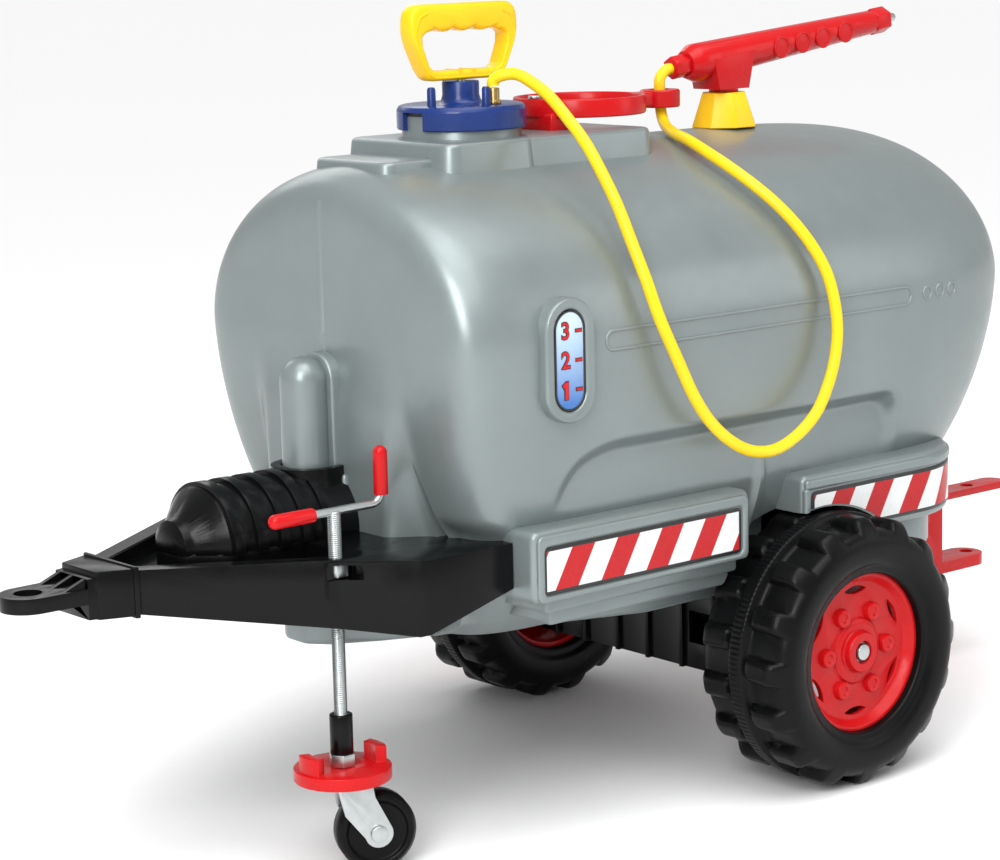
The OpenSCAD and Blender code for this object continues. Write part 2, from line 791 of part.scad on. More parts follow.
module carrier_screws() {
    color("#3a3c3e") for (x = [-post_x, post_x], y = [-post_y, post_y])
        translate([x, y, carrier_z0]) screw(screw_r, 5, 3, belly_z - carrier_z0 + 14);
}

module axle_spacers() {
    len = half_width - tyre_w + 4 - carrier_y - gap;
    color("#26282a") both_sides() translate([0, -carrier_y, axle_z]) rotate([90, 0, 0]) difference() {
        cylinder(r = axle_r + 3, h = len);
        translate([0, 0, -cut]) cylinder(r = axle_r, h = len + 2 * cut);
    }
}

module axle_caps() {
    y = half_width - hub_w0 + gap;
    color("#c4cacc") both_sides() translate([0, -y, axle_z]) rotate([90, 0, 0]) difference() {
        union() {
            cylinder(r = 9, h = 1.5);
            cylinder(r = axle_r + 1.2, h = 6);
        }
        translate([0, 0, -cut]) cylinder(r = axle_r, h = hub_w0 - 12 - gap + cut);
    }
}

// a wheel piece modelled with its outer face at zero and its depth along +Z
module on_left() {
    translate([0, -half_width, axle_z]) rotate([-90, 0, 0]) children();
}

module on_right() {
    mirror([0, 1, 0]) on_left() children();
}

module lug(w0, w1) {
    base = wheel_r - lug_h;
    rotate_extrude(angle = lug_turn) polygon([[base - 12, w0 < 20 ? w0 : w0 - 2], [base - 2, w0 < 20 ? w0 : w0 - 2],
        [wheel_r - 0.5, w0 < 20 ? w0 + 12 : w0], [wheel_r - 0.5, w0 < 20 ? w1 : w1 - 12],
        [base - 2, w0 < 20 ? w1 + 2 : w1], [base - 12, w0 < 20 ? w1 + 2 : w1]]);
}

module tyre() {
    t = tyre_wall;
    base = wheel_r - lug_h;
    w = tyre_w;
    mid0 = (w - band_w) / 2;
    mid1 = (w + band_w) / 2;
    color("#2a2c2e") {
        rotate_extrude() polygon([[bead_r, 8], [bead_r + 6, 3], [bead_r + 15, 0], [base - 9, 2], [base, 10],
            [base, mid0 - 2], [wheel_r, mid0], [wheel_r, mid1], [base, mid1 + 2], [base, w - 10], [base - 9, w - 2],
            [bead_r + 15, w], [bead_r + 6, w - 3], [bead_r, w - 8], [bead_r, w - 22], [bead_r + t, w - 22],
            [bead_r + t, w - 8 - t], [bead_r + 15, w - t], [base - 9 - t, w - 2 - t], [base - t, w - 12 - t],
            [base - t, 12 + t], [base - 9 - t, 2 + t], [bead_r + 15, t], [bead_r + t, 8 + t], [bead_r + t, 22],
            [bead_r, 22]]);
        for (i = [0 : lug_count - 1]) {
            rotate([0, 0, (i * 360 / lug_count) - lug_turn / 2 + 90]) lug(3, mid0);
            rotate([0, 0, ((i + 0.5) * 360 / lug_count) - lug_turn / 2 + 90]) lug(mid1, w - 3);
        }
    }
}

module rim() {
    color("#d8262c") difference() {
        union() {
            rotate_extrude() polygon([[0, disc_w], [bead_r - 8, disc_w], [bead_r - 3, barrel_w0], [bead_r, barrel_w0],
                [bead_r, barrel_w1], [bead_r - 4, barrel_w1], [bead_r - 4, disc_w + 5], [0, disc_w + 5]]);
            translate([0, 0, hub_w0]) cylinder(r = hub_r, h = hub_w1 - hub_w0);
            translate([0, 0, disc_w - 2]) cylinder(r = 25, h = 4);
            // raised bolt heads of the moulded disc
            for (a = [0 : 60 : 300]) rotate([0, 0, a]) translate([33, 0, disc_w - 4]) cylinder(r = 6.5, h = 6);
        }
        translate([0, 0, -cut]) cylinder(r = axle_r + run, h = tyre_w + 2 * cut);
        // six lens-shaped slots near the edge of the disc
        for (a = [30 : 60 : 330]) rotate([0, 0, a]) translate([0, 0, disc_w - 4]) intersection() {
            translate([27, 0, 0]) cylinder(r = 24, h = 14);
            translate([71, 0, 0]) cylinder(r = 26, h = 14);
        }
    }
}

module tyre_left() { on_left() tyre(); }

module tyre_right() { on_right() tyre(); }

module rim_left() { on_left() rim(); }

module rim_right() { on_right() rim(); }

module at_neck() {
    translate([neck_x, 0, 0]) children();
}

module pump_cap() {
    color("#2f4b9a") at_neck() difference() {
        union() {
            translate([0, 0, cap_top - skirt_h]) cylinder(r = cap_r, h = skirt_h);
            translate([0, 0, cap_top - cut]) cylinder(r = 14, h = collar_h - 1 + cut);
            // pegs to turn the cap by
            for (a = [190, -95]) rotate([0, 0, a]) translate([30, -3, cap_top - cut]) cube([7, 6, 14]);
        }
        translate([0, 0, cap_top - skirt_h - cut]) cylinder(r = neck_r, h = skirt_h - cap_wall + cut);
        translate([0, 0, cap_under - cut]) cylinder(r = rod_r + run, h = 60);
        // notch in the skirt
        rotate([0, 0, 181]) translate([30, -11, cap_top - skirt_h - cut]) cube([30, 22, skirt_h - cap_wall + cut]);
        translate([spigot_x - neck_x, spigot_y, cap_under - cut]) cylinder(r = spigot_r, h = 30);
    }
}

module cap_seal() {
    color("#26282a") at_neck() translate([0, 0, neck_top]) difference() {
        cylinder(r = neck_r - 0.5, h = seal_t);
        translate([0, 0, -cut]) cylinder(r = neck_bore, h = seal_t + 2 * cut);
    }
}

module pump_barrel() {
    z0 = foot_z + foot_h;
    color("#e6e8e8") at_neck() difference() {
        union() {
            translate([0, 0, z0]) cylinder(r = barrel_r, h = cap_under - z0);
            translate([0, 0, cap_under - 4]) cylinder(r = barrel_r + 7, h = 4);
        }
        translate([0, 0, z0 - cut]) cylinder(r = barrel_in, h = cap_under - z0 + 2 * cut);
    }
}

module foot_valve() {
    color("#26282a") at_neck() translate([0, 0, foot_z]) difference() {
        union() {
            cylinder(r = barrel_r, h = foot_h);
            translate([0, 0, foot_h - cut]) cylinder(r = barrel_in, h = 9);
        }
        translate([0, 0, 4]) cylinder(r = 9, h = 30);
        // strainer slots
        for (a = [0 : 45 : 135]) rotate([0, 0, a]) translate([-30, -1.5, -cut]) cube([60, 3, 8 + cut]);
    }
}

module pump_rod() {
    color("#c4cacc") at_neck() translate([0, 0, piston_z]) difference() {
        cylinder(r = rod_r, h = handle_z + 7 - piston_z);
        translate([0, 30, handle_z + 3.5 - piston_z]) rotate([90, 0, 0]) cylinder(r = 1.5, h = 60);
    }
}

module pump_piston() {
    color("#26282a") at_neck() translate([0, 0, piston_z]) difference() {
        cylinder(r = barrel_in - 0.4, h = piston_h);
        translate([0, 0, -cut]) cylinder(r = rod_r, h = piston_h + 2 * cut);
        translate([0, 0, 7]) difference() {
            cylinder(r = barrel_r, h = 6);
            translate([0, 0, -cut]) cylinder(r = barrel_in - 3, h = 6 + 2 * cut);
        }
    }
}

module piston_ring() {
    color("#26282a") at_neck() translate([0, 0, piston_z + 7]) difference() {
        cylinder(r = barrel_in - run, h = 6);
        translate([0, 0, -cut]) cylinder(r = barrel_in - 3, h = 6 + 2 * cut);
    }
}

// outline of the D handle, its bottom edge on the X axis
module handle_outline(inset) {
    w = handle_w / 2 - inset;
    h = handle_h - inset;
    polygon([[18 - w, inset], [w - 18, inset], [w - 8, 6], [w, h - 20], [w, h - 13], [w - 4, h - 4], [w - 13, h],
        [13 - w, h], [4 - w, h - 4], [-w, h - 13], [-w, h - 20], [8 - w, 6]]);
}

module pump_handle() {
    color("#f4c81c") translate([neck_x, handle_t / 2, handle_z]) rotate([90, 0, 0]) difference() {
        linear_extrude(handle_t) difference() {
            handle_outline(0);
            polygon([[19 - handle_w / 2, 9], [handle_w / 2 - 19, 9], [handle_w / 2 - 13, handle_h - 19],
                [13 - handle_w / 2, handle_h - 19]]);
        }
        translate([0, -cut, handle_t / 2]) rotate([-90, 0, 0]) cylinder(r = rod_r, h = 7 + cut);
        translate([0, 3.5, -cut]) cylinder(r = 1.5, h = handle_t + 2 * cut);
    }
}

module handle_pin() {
    color("#b9bdc0") translate([neck_x, handle_t / 2 - 1, handle_z + 3.5]) rotate([90, 0, 0])
        cylinder(r = 1.5, h = handle_t - 2);
}

module hose_spigot() {
    color("#8a7a3c") translate([spigot_x, spigot_y, cap_under]) difference() {
        union() {
            cylinder(r = spigot_r, h = spigot_top - cap_under);
            translate([0, 0, cap_wall]) cylinder(r = spigot_r + 1.2, h = 3);
        }
        translate([0, 0, -cut]) cylinder(r = 2, h = 40);
    }
}

// smooth curve through the route, two steps from one point to the next
function curve_at(p, i, t) =
    let (n = len(p), a = p[max(i - 1, 0)], b = p[i], c = p[min(i + 1, n - 1)], d = p[min(i + 2, n - 1)])
    0.5 * (2 * b + (c - a) * t + (2 * a - 5 * b + 4 * c - d) * t * t + (3 * b - 3 * c + d - a) * t * t * t);

function curve(p, steps) = concat(
    [for (i = [0 : len(p) - 2], k = [0 : steps - 1]) curve_at(p, i, k / steps)], [p[len(p) - 1]]);

function unit(v) = v / norm(v);

function turned(u, v, n, m) =
    let (axis = cross(n, m), s = norm(axis), c = n * m)
    s < 1e-6 ? u : let (k = axis / s) u * c + cross(k, u) * s + k * (k * u) * (1 - c);

// sideways directions along a path, each turned as little as can be from the one before
function frames(t, i = 0, u = undef) =
    i == len(t) ? [] :
        let (now = i == 0 ? unit(cross(t[0], [0.3, 1, 0.2])) : turned(u, 0, t[i - 1], t[i]))
        concat([now], frames(t, i + 1, now));

module tube(path, r, sides) {
    n = len(path);
    t = [for (i = [0 : n - 1]) unit(path[min(i + 1, n - 1)] - path[max(i - 1, 0)])];
    u = frames(t);
    points = [for (i = [0 : n - 1], k = [0 : sides - 1])
        let (a = 360 * k / sides) path[i] + r * (cos(a) * u[i] + sin(a) * cross(t[i], u[i]))];
    faces = concat(
        [[for (k = [0 : sides - 1]) k]],
        [for (i = [0 : n - 2], k = [0 : sides - 1])
            let (a = i * sides + k, b = i * sides + (k + 1) % sides) each [[a, a + sides, b + sides], [a, b + sides, b]]],
        [[for (k = [0 : sides - 1]) n * sides - 1 - k]]);
    polyhedron(points = points, faces = faces, convexity = 10);
}

module hose() {
    color("#f6d81e") tube(curve(hose_route, 2), hose_r, hose_sides);
}

module gun_pedestal() {
    color("#f4c81c") translate([gun_x, 0, pedestal_z]) difference() {
        rotate([0, 0, 22.5]) cylinder(r1 = 28, r2 = 18.5, h = pedestal_h, $fn = 8);
        translate([0, 0, -cut]) cylinder(r = pivot_r, h = pedestal_h + 2 * cut);
    }
}

module gun_pivot() {
    color("#b9bdc0") translate([gun_x, 0, pedestal_z - 14]) cylinder(r = pivot_r, h = pedestal_h + 34);
}

// radius of the gun's body at a place along it
function gun_at(x) = gun_r0 - (gun_r0 - gun_r1) * (x - 9) / (gun_len - 9);

// along the gun: X from the front of its rear nut
module on_gun() {
    translate([gun_ax_x, 0, gun_ax_z]) rotate([0, -gun_tilt, 0]) children();
}

module gun_body() {
    color("#d8262c") difference() {
        union() {
            on_gun() {
                rotate([0, 90, 0]) cylinder(r1 = 11, r2 = gun_r0, h = 9);
                translate([9, 0, 0]) rotate([0, 90, 0]) cylinder(r1 = gun_r0, r2 = gun_r1, h = gun_len - 9);
                // round finger bosses on both sides
                for (x = lobes) translate([x, gun_at(x) + 1, -1.5]) rotate([90, 0, 0])
                    cylinder(r = 8, h = 2 * (gun_at(x) + 1));
            }
            // tapered mount plate, wider than the barrel
            translate([gun_x, gun_r0, 0]) rotate([90, 0, 0]) linear_extrude(2 * gun_r0)
                polygon([[-19, gun_seat + 3], [14, gun_seat + 3], [21, gun_ax_z + 9], [-25, gun_ax_z + 4]]);
            translate([gun_x, 0, gun_seat + gap]) cylinder(r = 12, h = 6);
        }
        translate([gun_x, 0, gun_seat - cut]) cylinder(r = pivot_r + run, h = 21);
    }
}

module gun_rear_nut() {
    color("#c82228") on_gun() rotate([0, -90, 0]) cylinder(r = 9.5, h = nut_len, $fn = 6);
}

module gun_nozzle_cap() {
    color("#c82228") on_gun() translate([gun_len, 0, 0]) rotate([0, 90, 0]) difference() {
        cylinder(r = 11.5, h = 17, $fn = 6);
        translate([0, 0, 2]) cylinder(r = 3.5, h = 20);
    }
}

module gun_nozzle() {
    color("#b9bdc0") on_gun() translate([gun_len + 2, 0, 0]) rotate([0, 90, 0]) difference() {
        cylinder(r = 3.5, h = 27);
        translate([0, 0, 6]) cylinder(r = 1.5, h = 20);
    }
}

module hose_guide() {
    arm_w = 9;
    color("#d8262c") difference() {
        union() {
            translate([guide_x, 0, guide_z]) cylinder(r = guide_r, h = guide_h);
            translate([guide_x + guide_r - 6, -arm_w, guide_z]) cube([guide_eye_x - guide_x - guide_r + 6, 2 * arm_w, guide_h]);
            translate([guide_eye_x, 0, guide_z]) cylinder(r = 16, h = guide_h);
            // foot on the platform
            slab(guide_x - guide_r, guide_x - guide_r + 24, 15, deck_top, guide_z + guide_h);
        }
        translate([guide_x, 0, guide_z - cut]) cylinder(r = guide_r - guide_wall, h = guide_h + 2 * cut);
        translate([guide_eye_x, 0, guide_z - cut]) cylinder(r = hose_r + 4.5, h = guide_h + 2 * cut);
        translate([guide_x - guide_r + 6, 0, deck_top - cut]) cylinder(r = screw_r, h = 60);
    }
}

module guide_screw() {
    color("#b9bdc0") translate([guide_x - guide_r + 6, 0, deck_top - wall]) {
        cylinder(r = screw_r, h = guide_z + guide_h - deck_top + wall);
        translate([0, 0, guide_z + guide_h - deck_top + wall]) cylinder(r = 5, h = 2.5);
    }
}

module rear_hitch() {
    color("#d8262c") difference() {
        union() {
            slab(web_x0, web_x1, tongue_low_w, tongue_low_z, tongue_up_z + tongue_up_t);
            translate([0, 0, tongue_up_z]) linear_extrude(tongue_up_t) {
                translate([hitch_tip - tongue_up_w, 0]) circle(tongue_up_w);
                translate([web_x0, -tongue_up_w]) square([hitch_tip - tongue_up_w - web_x0, 2 * tongue_up_w]);
            }
            translate([0, 0, tongue_low_z]) linear_extrude(tongue_low_t) {
                translate([low_tip - tongue_low_w, 0]) circle(tongue_low_w);
                translate([web_x0, -tongue_low_w]) square([low_tip - tongue_low_w - web_x0, 2 * tongue_low_w]);
            }
            // foot under the belly
            slab(foot_x0, web_x0 + cut, 30, belly_z - foot_t, belly_z);
        }
        translate([hitch_pin_x, 0, 0]) cylinder(r = hitch_pin_r, h = 300);
        hitch_screw_places() cylinder(r = screw_r, h = 300);
    }
}

module hitch_bolts() {
    color("#b9bdc0") hitch_screw_places() translate([0, 0, belly_z - foot_t]) screw(screw_r, 5, 3, foot_t + 14);
}

module place() {
    translate([shift_x, 0, 0]) children();
}

place() tank_shell();
place() level_gauge();
place() panel_front_left();
place() panel_front_right();
place() panel_rear_left();
place() panel_rear_right();
place() drawbar();
place() drawbar_screws();
place() ribbed_cover();
place() tow_coupler();
place() coupler_bolt();
place() jockey_nut();
place() jockey_screw();
place() crank_bar();
place() crank_grips();
place() spindle_sleeve();
place() stem_nut();
place() castor_plate();
place() kingpin_nut();
place() castor_fork();
place() castor_axle();
place() castor_wheel();
place() axle();
place() axle_carrier();
place() carrier_screws();
place() axle_spacers();
place() axle_caps();
place() tyre_left();
place() tyre_right();
place() rim_left();
place() rim_right();
place() pump_cap();
place() cap_seal();
place() pump_barrel();
place() foot_valve();
place() pump_rod();
place() pump_piston();
place() piston_ring();
place() pump_handle();
place() handle_pin();
place() hose_spigot();
place() hose();
place() gun_pedestal();
place() gun_pivot();
place() gun_body();
place() gun_rear_nut();
place() gun_nozzle_cap();
place() gun_nozzle();
place() hose_guide();
place() guide_screw();
place() rear_hitch();
place() hitch_bolts();
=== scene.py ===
"""Looks of the tank trailer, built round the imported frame.

Lengths are trailer millimetres, measured from the axle, until they reach a mesh.
"""
import json
import math

import bmesh
import bpy
import numpy as np
from mathutils import Matrix, Vector

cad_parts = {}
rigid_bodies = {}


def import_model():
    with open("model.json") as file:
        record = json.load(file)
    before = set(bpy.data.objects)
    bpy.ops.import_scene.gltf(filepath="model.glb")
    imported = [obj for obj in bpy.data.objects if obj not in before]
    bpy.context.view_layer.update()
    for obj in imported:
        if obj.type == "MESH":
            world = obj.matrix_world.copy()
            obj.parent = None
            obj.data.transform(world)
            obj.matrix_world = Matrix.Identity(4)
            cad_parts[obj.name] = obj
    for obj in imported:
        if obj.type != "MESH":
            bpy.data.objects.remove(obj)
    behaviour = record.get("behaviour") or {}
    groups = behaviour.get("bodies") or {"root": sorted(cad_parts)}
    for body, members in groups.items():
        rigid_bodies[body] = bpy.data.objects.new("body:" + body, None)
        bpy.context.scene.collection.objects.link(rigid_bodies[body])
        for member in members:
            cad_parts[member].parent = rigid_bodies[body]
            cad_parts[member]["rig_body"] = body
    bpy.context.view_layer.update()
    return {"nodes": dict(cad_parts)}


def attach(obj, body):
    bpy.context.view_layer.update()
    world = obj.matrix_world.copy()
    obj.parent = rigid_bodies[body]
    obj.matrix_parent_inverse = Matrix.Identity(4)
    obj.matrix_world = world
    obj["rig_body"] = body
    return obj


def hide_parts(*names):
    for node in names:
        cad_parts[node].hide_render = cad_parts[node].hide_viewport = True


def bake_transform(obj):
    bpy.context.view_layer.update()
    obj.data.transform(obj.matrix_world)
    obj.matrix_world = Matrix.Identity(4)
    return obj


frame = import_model()

MM = 0.001
SHIFT = 103.5
UP, ALONG = (0, 0, 1), (1, 0, 0)
SIDES = ((-1, "left"), (1, "right"))
AXLE_Z = 105
BAR_TOP = 229
CLEAR = 260  # half width that lies outside every piece


def metres(points):
    """Trailer millimetres, measured from the axle, to metres in the shared frame."""
    p = np.asarray(points, float).reshape(-1, 3)
    return (p + np.array([SHIFT, 0.0, 0.0])) * MM


def add(name, data):
    """A new object in the scene."""
    ob = bpy.data.objects.new(name, data)
    bpy.context.scene.collection.objects.link(ob)
    return ob


def new_mesh(name, points, faces):
    me = bpy.data.meshes.new(name)
    me.from_pydata([tuple(v) for v in metres(points)], [], faces)
    return me


# Camera at the photograph's viewing angle
CAM_PLACE = (-1544.76, -1640.88, 664.62)
CAM_RIGHT = (0.7655, -0.6430, -0.0236)
CAM_UP = (0.1330, 0.1222, 0.9836)
CAM_AHEAD = (0.6295, 0.7561, -0.1791)
cam_data = bpy.data.cameras.new("camera")
cam_data.sensor_width = 36.0
cam_data.lens = 100.78
cam_data.clip_end = 200.0
cam = add("camera", cam_data)
turn = Matrix((CAM_RIGHT, CAM_UP, [-c for c in CAM_AHEAD])).transposed()
turn = turn.to_quaternion().normalized().to_matrix().to_4x4()
cam.matrix_world = Matrix.Translation(Vector(metres(CAM_PLACE)[0])) @ turn
bpy.context.scene.camera = cam


# Procedural materials
def node_in(tree, kind, **values):
    n = tree.nodes.new(kind)
    for key, value in values.items():
        if key in n.inputs:
            n.inputs[key].default_value = value
        else:
            setattr(n, key, value)
    return n


def start_material(name):
    m = bpy.data.materials.new(name + "_looks")
    m["slot"] = name
    m.use_nodes = True
    t = m.node_tree
    return m, t, t.nodes["Principled BSDF"], node_in(t, "ShaderNodeTexCoord").outputs["Object"]


def wire(shader, socket, value):
    shader.id_data.links.new(value, shader.inputs[socket])


def noise(tree, coords, scale, detail=3.0, rough=0.55):
    n = node_in(tree, "ShaderNodeTexNoise", Scale=scale, Detail=detail, Roughness=rough)
    wire(n, "Vector", coords)
    return n.outputs["Fac"]


def ranged(tree, value, low, high, from_low=0.3, from_high=0.7):
    n = node_in(tree, "ShaderNodeMapRange")
    n.inputs["From Min"].default_value = from_low
    n.inputs["From Max"].default_value = from_high
    n.inputs["To Min"].default_value = low
    n.inputs["To Max"].default_value = high
    wire(n, "Value", value)
    return n.outputs["Result"]


def two_tone(tree, factor, dark, light, low=0.3, high=0.7):
    n = tree.nodes.new("ShaderNodeValToRGB")
    n.color_ramp.elements[0].position = low
    n.color_ramp.elements[1].position = high
    n.color_ramp.elements[0].color = (*dark, 1)
    n.color_ramp.elements[1].color = (*light, 1)
    wire(n, "Fac", factor)
    return n.outputs["Color"]


def bump(tree, height, strength, distance, under=None):
    n = node_in(tree, "ShaderNodeBump", Strength=strength, Distance=distance)
    wire(n, "Height", height)
    if under is not None:
        wire(n, "Normal", under)
    return n.outputs["Normal"]


def shade(color, k):
    return tuple(min(1.0, c * k) for c in color)


def moulded(name, color, rough, spread=0.06, grain=900.0, grain_depth=0.00012, wave=30.0, wave_depth=0.0004,
            metallic=0.0, coat=0.0, tone=0.07, specular=0.5):
    """Moulded plastic: soft tone change, uneven gloss, fine grain and the slight waves of a moulded skin."""
    m, t, p, co = start_material(name)
    p.inputs["Metallic"].default_value = metallic
    p.inputs["Coat Weight"].default_value = coat
    p.inputs["Coat Roughness"].default_value = 0.12
    p.inputs["Specular IOR Level"].default_value = specular
    patches = noise(t, co, 14.0, 4.0)
    wire(p, "Base Color", two_tone(t, patches, shade(color, 1 - tone), shade(color, 1 + tone)))
    gloss = noise(t, co, 55.0, 5.0, 0.65)
    wire(p, "Roughness", ranged(t, gloss, rough - spread, rough + spread))
    soft = bump(t, noise(t, co, wave, 2.0), 0.25, wave_depth)
    wire(p, "Normal", bump(t, noise(t, co, grain, 2.0), 0.35, grain_depth, soft))
    return m


def metal(name, color, rough, scale=420.0):
    """Zinc-plated or brass fitting: patchy plating with a fine grain."""
    m, t, p, co = start_material(name)
    p.inputs["Metallic"].default_value = 1.0
    wire(p, "Base Color", two_tone(t, noise(t, co, 160.0, 5.0), shade(color, 0.93), shade(color, 1.04)))
    wire(p, "Roughness", ranged(t, noise(t, co, scale, 4.0, 0.7), rough - 0.05, rough + 0.06))
    wire(p, "Normal", bump(t, noise(t, co, 1400.0, 2.0), 0.12, 0.00004))
    return m


SILVER = (0.208, 0.243, 0.244)
RED = (0.49, 0.006, 0.008)
YELLOW = (0.86, 0.50, 0.006)
BLUE = (0.010, 0.030, 0.150)
BLACK = (0.0026, 0.0027, 0.0030)
TYRE_BLACK = (0.0026, 0.0027, 0.0029)
silver = moulded("silver_plastic", SILVER, 0.34, 0.05, 1500.0, 0.00008, 18.0, 0.0006, 0.40, 0.10, 0.05)
black = moulded("black_plastic", BLACK, 0.21, 0.06, 1100.0, 0.00018, 26.0, 0.0004, tone=0.2, specular=0.16)
red = moulded("red_plastic", RED, 0.24, 0.06, 1300.0, 0.00006, 35.0, 0.0003, specular=0.22)
yellow = moulded("yellow_plastic", YELLOW, 0.27, 0.06, 1300.0, 0.00006, 35.0, 0.0003, specular=0.25)
blue = moulded("blue_plastic", BLUE, 0.24, 0.06, 1300.0, 0.00006, 35.0, 0.0003, specular=0.3)
white = moulded("white_plastic", (0.78, 0.79, 0.79), 0.35)
tyre_mat = moulded("tyre_plastic", TYRE_BLACK, 0.33, 0.08, 700.0, 0.0002, 40.0, 0.0004, tone=0.25,
                   specular=0.14)
rubber = moulded("castor_rubber", (0.0036, 0.0036, 0.0038), 0.36, 0.08, 800.0, 0.0002, tone=0.25,
                 specular=0.11)
seal = moulded("seal_rubber", (0.018, 0.018, 0.018), 0.6, 0.1, 800.0, 0.0002, tone=0.25)
vinyl = moulded("hose_vinyl", (0.86, 0.58, 0.010), 0.26, 0.05, 1200.0, 0.00005, 60.0, 0.0003, specular=0.3)
zinc = metal("zinc_steel", (0.50, 0.53, 0.53), 0.34)
brass = metal("brass_fitting", (0.42, 0.30, 0.12), 0.34)
# Black ink of the printed digits and film borders; the same black is also used as painted shade in the ring
# round the gauge scale
ink_and_painted_shade_black = moulded("ink_and_painted_shade_black", (0.012, 0.012, 0.013), 0.35, tone=0.15)
ink_red = moulded("ink_red", (0.56, 0.008, 0.010), 0.30, specular=0.25)

STRIPES_PER_DM, STRIPE_START, STRIPE_LEAN = 2.27, 0.80, -0.58
FILM_RED, FILM_WHITE = (0.47, 0.012, 0.016), (0.74, 0.76, 0.76)


def hazard_film():
    """Red and white slanted stripes of a printed film, laid out by the film's own UV in decimetres."""
    m, t, p, co = start_material("hazard_film")
    uv = node_in(t, "ShaderNodeUVMap", uv_map="film").outputs["UV"]
    parts = node_in(t, "ShaderNodeSeparateXYZ")
    wire(parts, "Vector", uv)
    lean = node_in(t, "ShaderNodeMath", operation="MULTIPLY_ADD")
    lean.inputs[1].default_value = STRIPE_LEAN
    wire(lean, 0, parts.outputs["Y"])
    wire(lean, 2, parts.outputs["X"])
    steps = node_in(t, "ShaderNodeMath", operation="MULTIPLY_ADD")
    steps.inputs[1].default_value = STRIPES_PER_DM
    steps.inputs[2].default_value = STRIPE_START
    wire(steps, 0, lean.outputs[0])
    part = node_in(t, "ShaderNodeMath", operation="FRACT")
    wire(part, 0, steps.outputs[0])
    stripe = two_tone(t, part.outputs[0], FILM_RED, FILM_WHITE, 0.495, 0.505)
    faded = node_in(t, "ShaderNodeMix", data_type="RGBA", blend_type="MULTIPLY")
    faded.inputs["Factor"].default_value = 1.0
    wire(faded, "A", stripe)
    wire(faded, "B", two_tone(t, noise(t, co, 40.0, 4.0), (0.9,) * 3, (1.0,) * 3))
    wire(p, "Base Color", faded.outputs["Result"])
    p.inputs["Specular IOR Level"].default_value = 0.25
    wire(p, "Roughness", ranged(t, noise(t, co, 70.0, 5.0), 0.22, 0.36))
    wire(p, "Normal", bump(t, noise(t, co, 300.0, 2.0), 0.2, 0.00008))
    return m


def gauge_film():
    """Printed scale: white at the top, going to blue at the bottom."""
    m, t, p, co = start_material("gauge_window")
    parts = node_in(t, "ShaderNodeSeparateXYZ")
    wire(parts, "Vector", co)
    level = ranged(t, parts.outputs["Z"], 0.0, 1.0, 0.322, 0.394)
    wobble = node_in(t, "ShaderNodeMath", operation="MULTIPLY_ADD")
    wobble.inputs[1].default_value = 0.08
    wire(wobble, 0, noise(t, co, 200.0, 3.0))
    wire(wobble, 2, level)
    wire(p, "Base Color", two_tone(t, wobble.outputs[0], (0.035, 0.15, 0.46), (0.52, 0.66, 0.74), 0.10, 0.98))
    wire(p, "Roughness", ranged(t, noise(t, co, 90.0, 4.0), 0.14, 0.26))
    wire(p, "Normal", bump(t, noise(t, co, 400.0, 2.0), 0.15, 0.00006))
    return m


hazard = hazard_film()
gauge_mat = gauge_film()


# Mesh helpers
def finish_mesh(me, angle):
    me.shade_smooth()
    me.set_sharp_from_angle(angle=math.radians(angle))
    me.update()


def put(ob, body, nodes=(), mats=()):
    """Gives a piece its materials, its body and the CAD nodes it stands for."""
    ob.data.materials.clear()
    for m in mats:
        ob.data.materials.append(m)
    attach(ob, body)
    if nodes:
        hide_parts(*nodes)
    return ob


def applied_mesh(ob):
    """Mesh of an object as its modifiers or curve settings make it."""
    bpy.context.view_layer.update()
    dg = bpy.context.evaluated_depsgraph_get()
    return bpy.data.meshes.new_from_object(ob.evaluated_get(dg), depsgraph=dg)


def face_outwards(me):
    bm = bmesh.new()
    bm.from_mesh(me)
    bmesh.ops.recalc_face_normals(bm, faces=bm.faces)
    bm.to_mesh(me)
    bm.free()


def settle(ob, angle):
    """Applies a piece's modifiers to its mesh."""
    me = applied_mesh(ob)
    old = ob.data
    ob.modifiers.clear()
    ob.data = me
    me.name = old.name
    bpy.data.meshes.remove(old)
    finish_mesh(me, angle)
    return ob


def bevel_mod(ob, width, segments=2, angle=38):
    b = ob.modifiers.new("edge", "BEVEL")
    b.width = width * MM
    b.segments = segments
    b.limit_method = "ANGLE"
    b.angle_limit = math.radians(angle)
    b.use_clamp_overlap = True
    return b


def dress(node, mat, width=0.8, segments=2, angle=38, smooth=34):
    """A copy of a CAD node with eased edges and its own finish, standing for the node."""
    src = frame["nodes"][node]
    bm = bmesh.new()
    bm.from_mesh(src.data)
    bmesh.ops.remove_doubles(bm, verts=bm.verts, dist=2e-6)
    bmesh.ops.dissolve_limit(bm, angle_limit=math.radians(0.5), verts=bm.verts, edges=bm.edges)
    me = bpy.data.meshes.new(node + "_dressed")
    bm.to_mesh(me)
    bm.free()
    ob = add(node + "_dressed", me)
    bevel_mod(ob, width, segments, angle)
    settle(ob, smooth)
    return put(ob, src["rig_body"], [node], [mat])


def grid_faces(rows, cols, wrap=True):
    """Quads of a rows by cols grid of points; with wrap the last column joins the first."""
    f = []
    span = cols if wrap else cols - 1
    for r in range(rows - 1):
        for c in range(span):
            d = (c + 1) % cols
            f.append((r * cols + c, r * cols + d, (r + 1) * cols + d, (r + 1) * cols + c))
    return f


def closed_rows(rows, cols):
    """Faces of a stack of rings with both ends shut."""
    ends = [tuple(range(cols - 1, -1, -1)), tuple(range((rows - 1) * cols, rows * cols))]
    return grid_faces(rows, cols) + ends


def looped_rows(rows, cols):
    """Faces of a stack of rings whose last ring joins the first."""
    last = (rows - 1) * cols
    seam = [(last + c, last + (c + 1) % cols, (c + 1) % cols, c) for c in range(cols)]
    return grid_faces(rows, cols) + seam


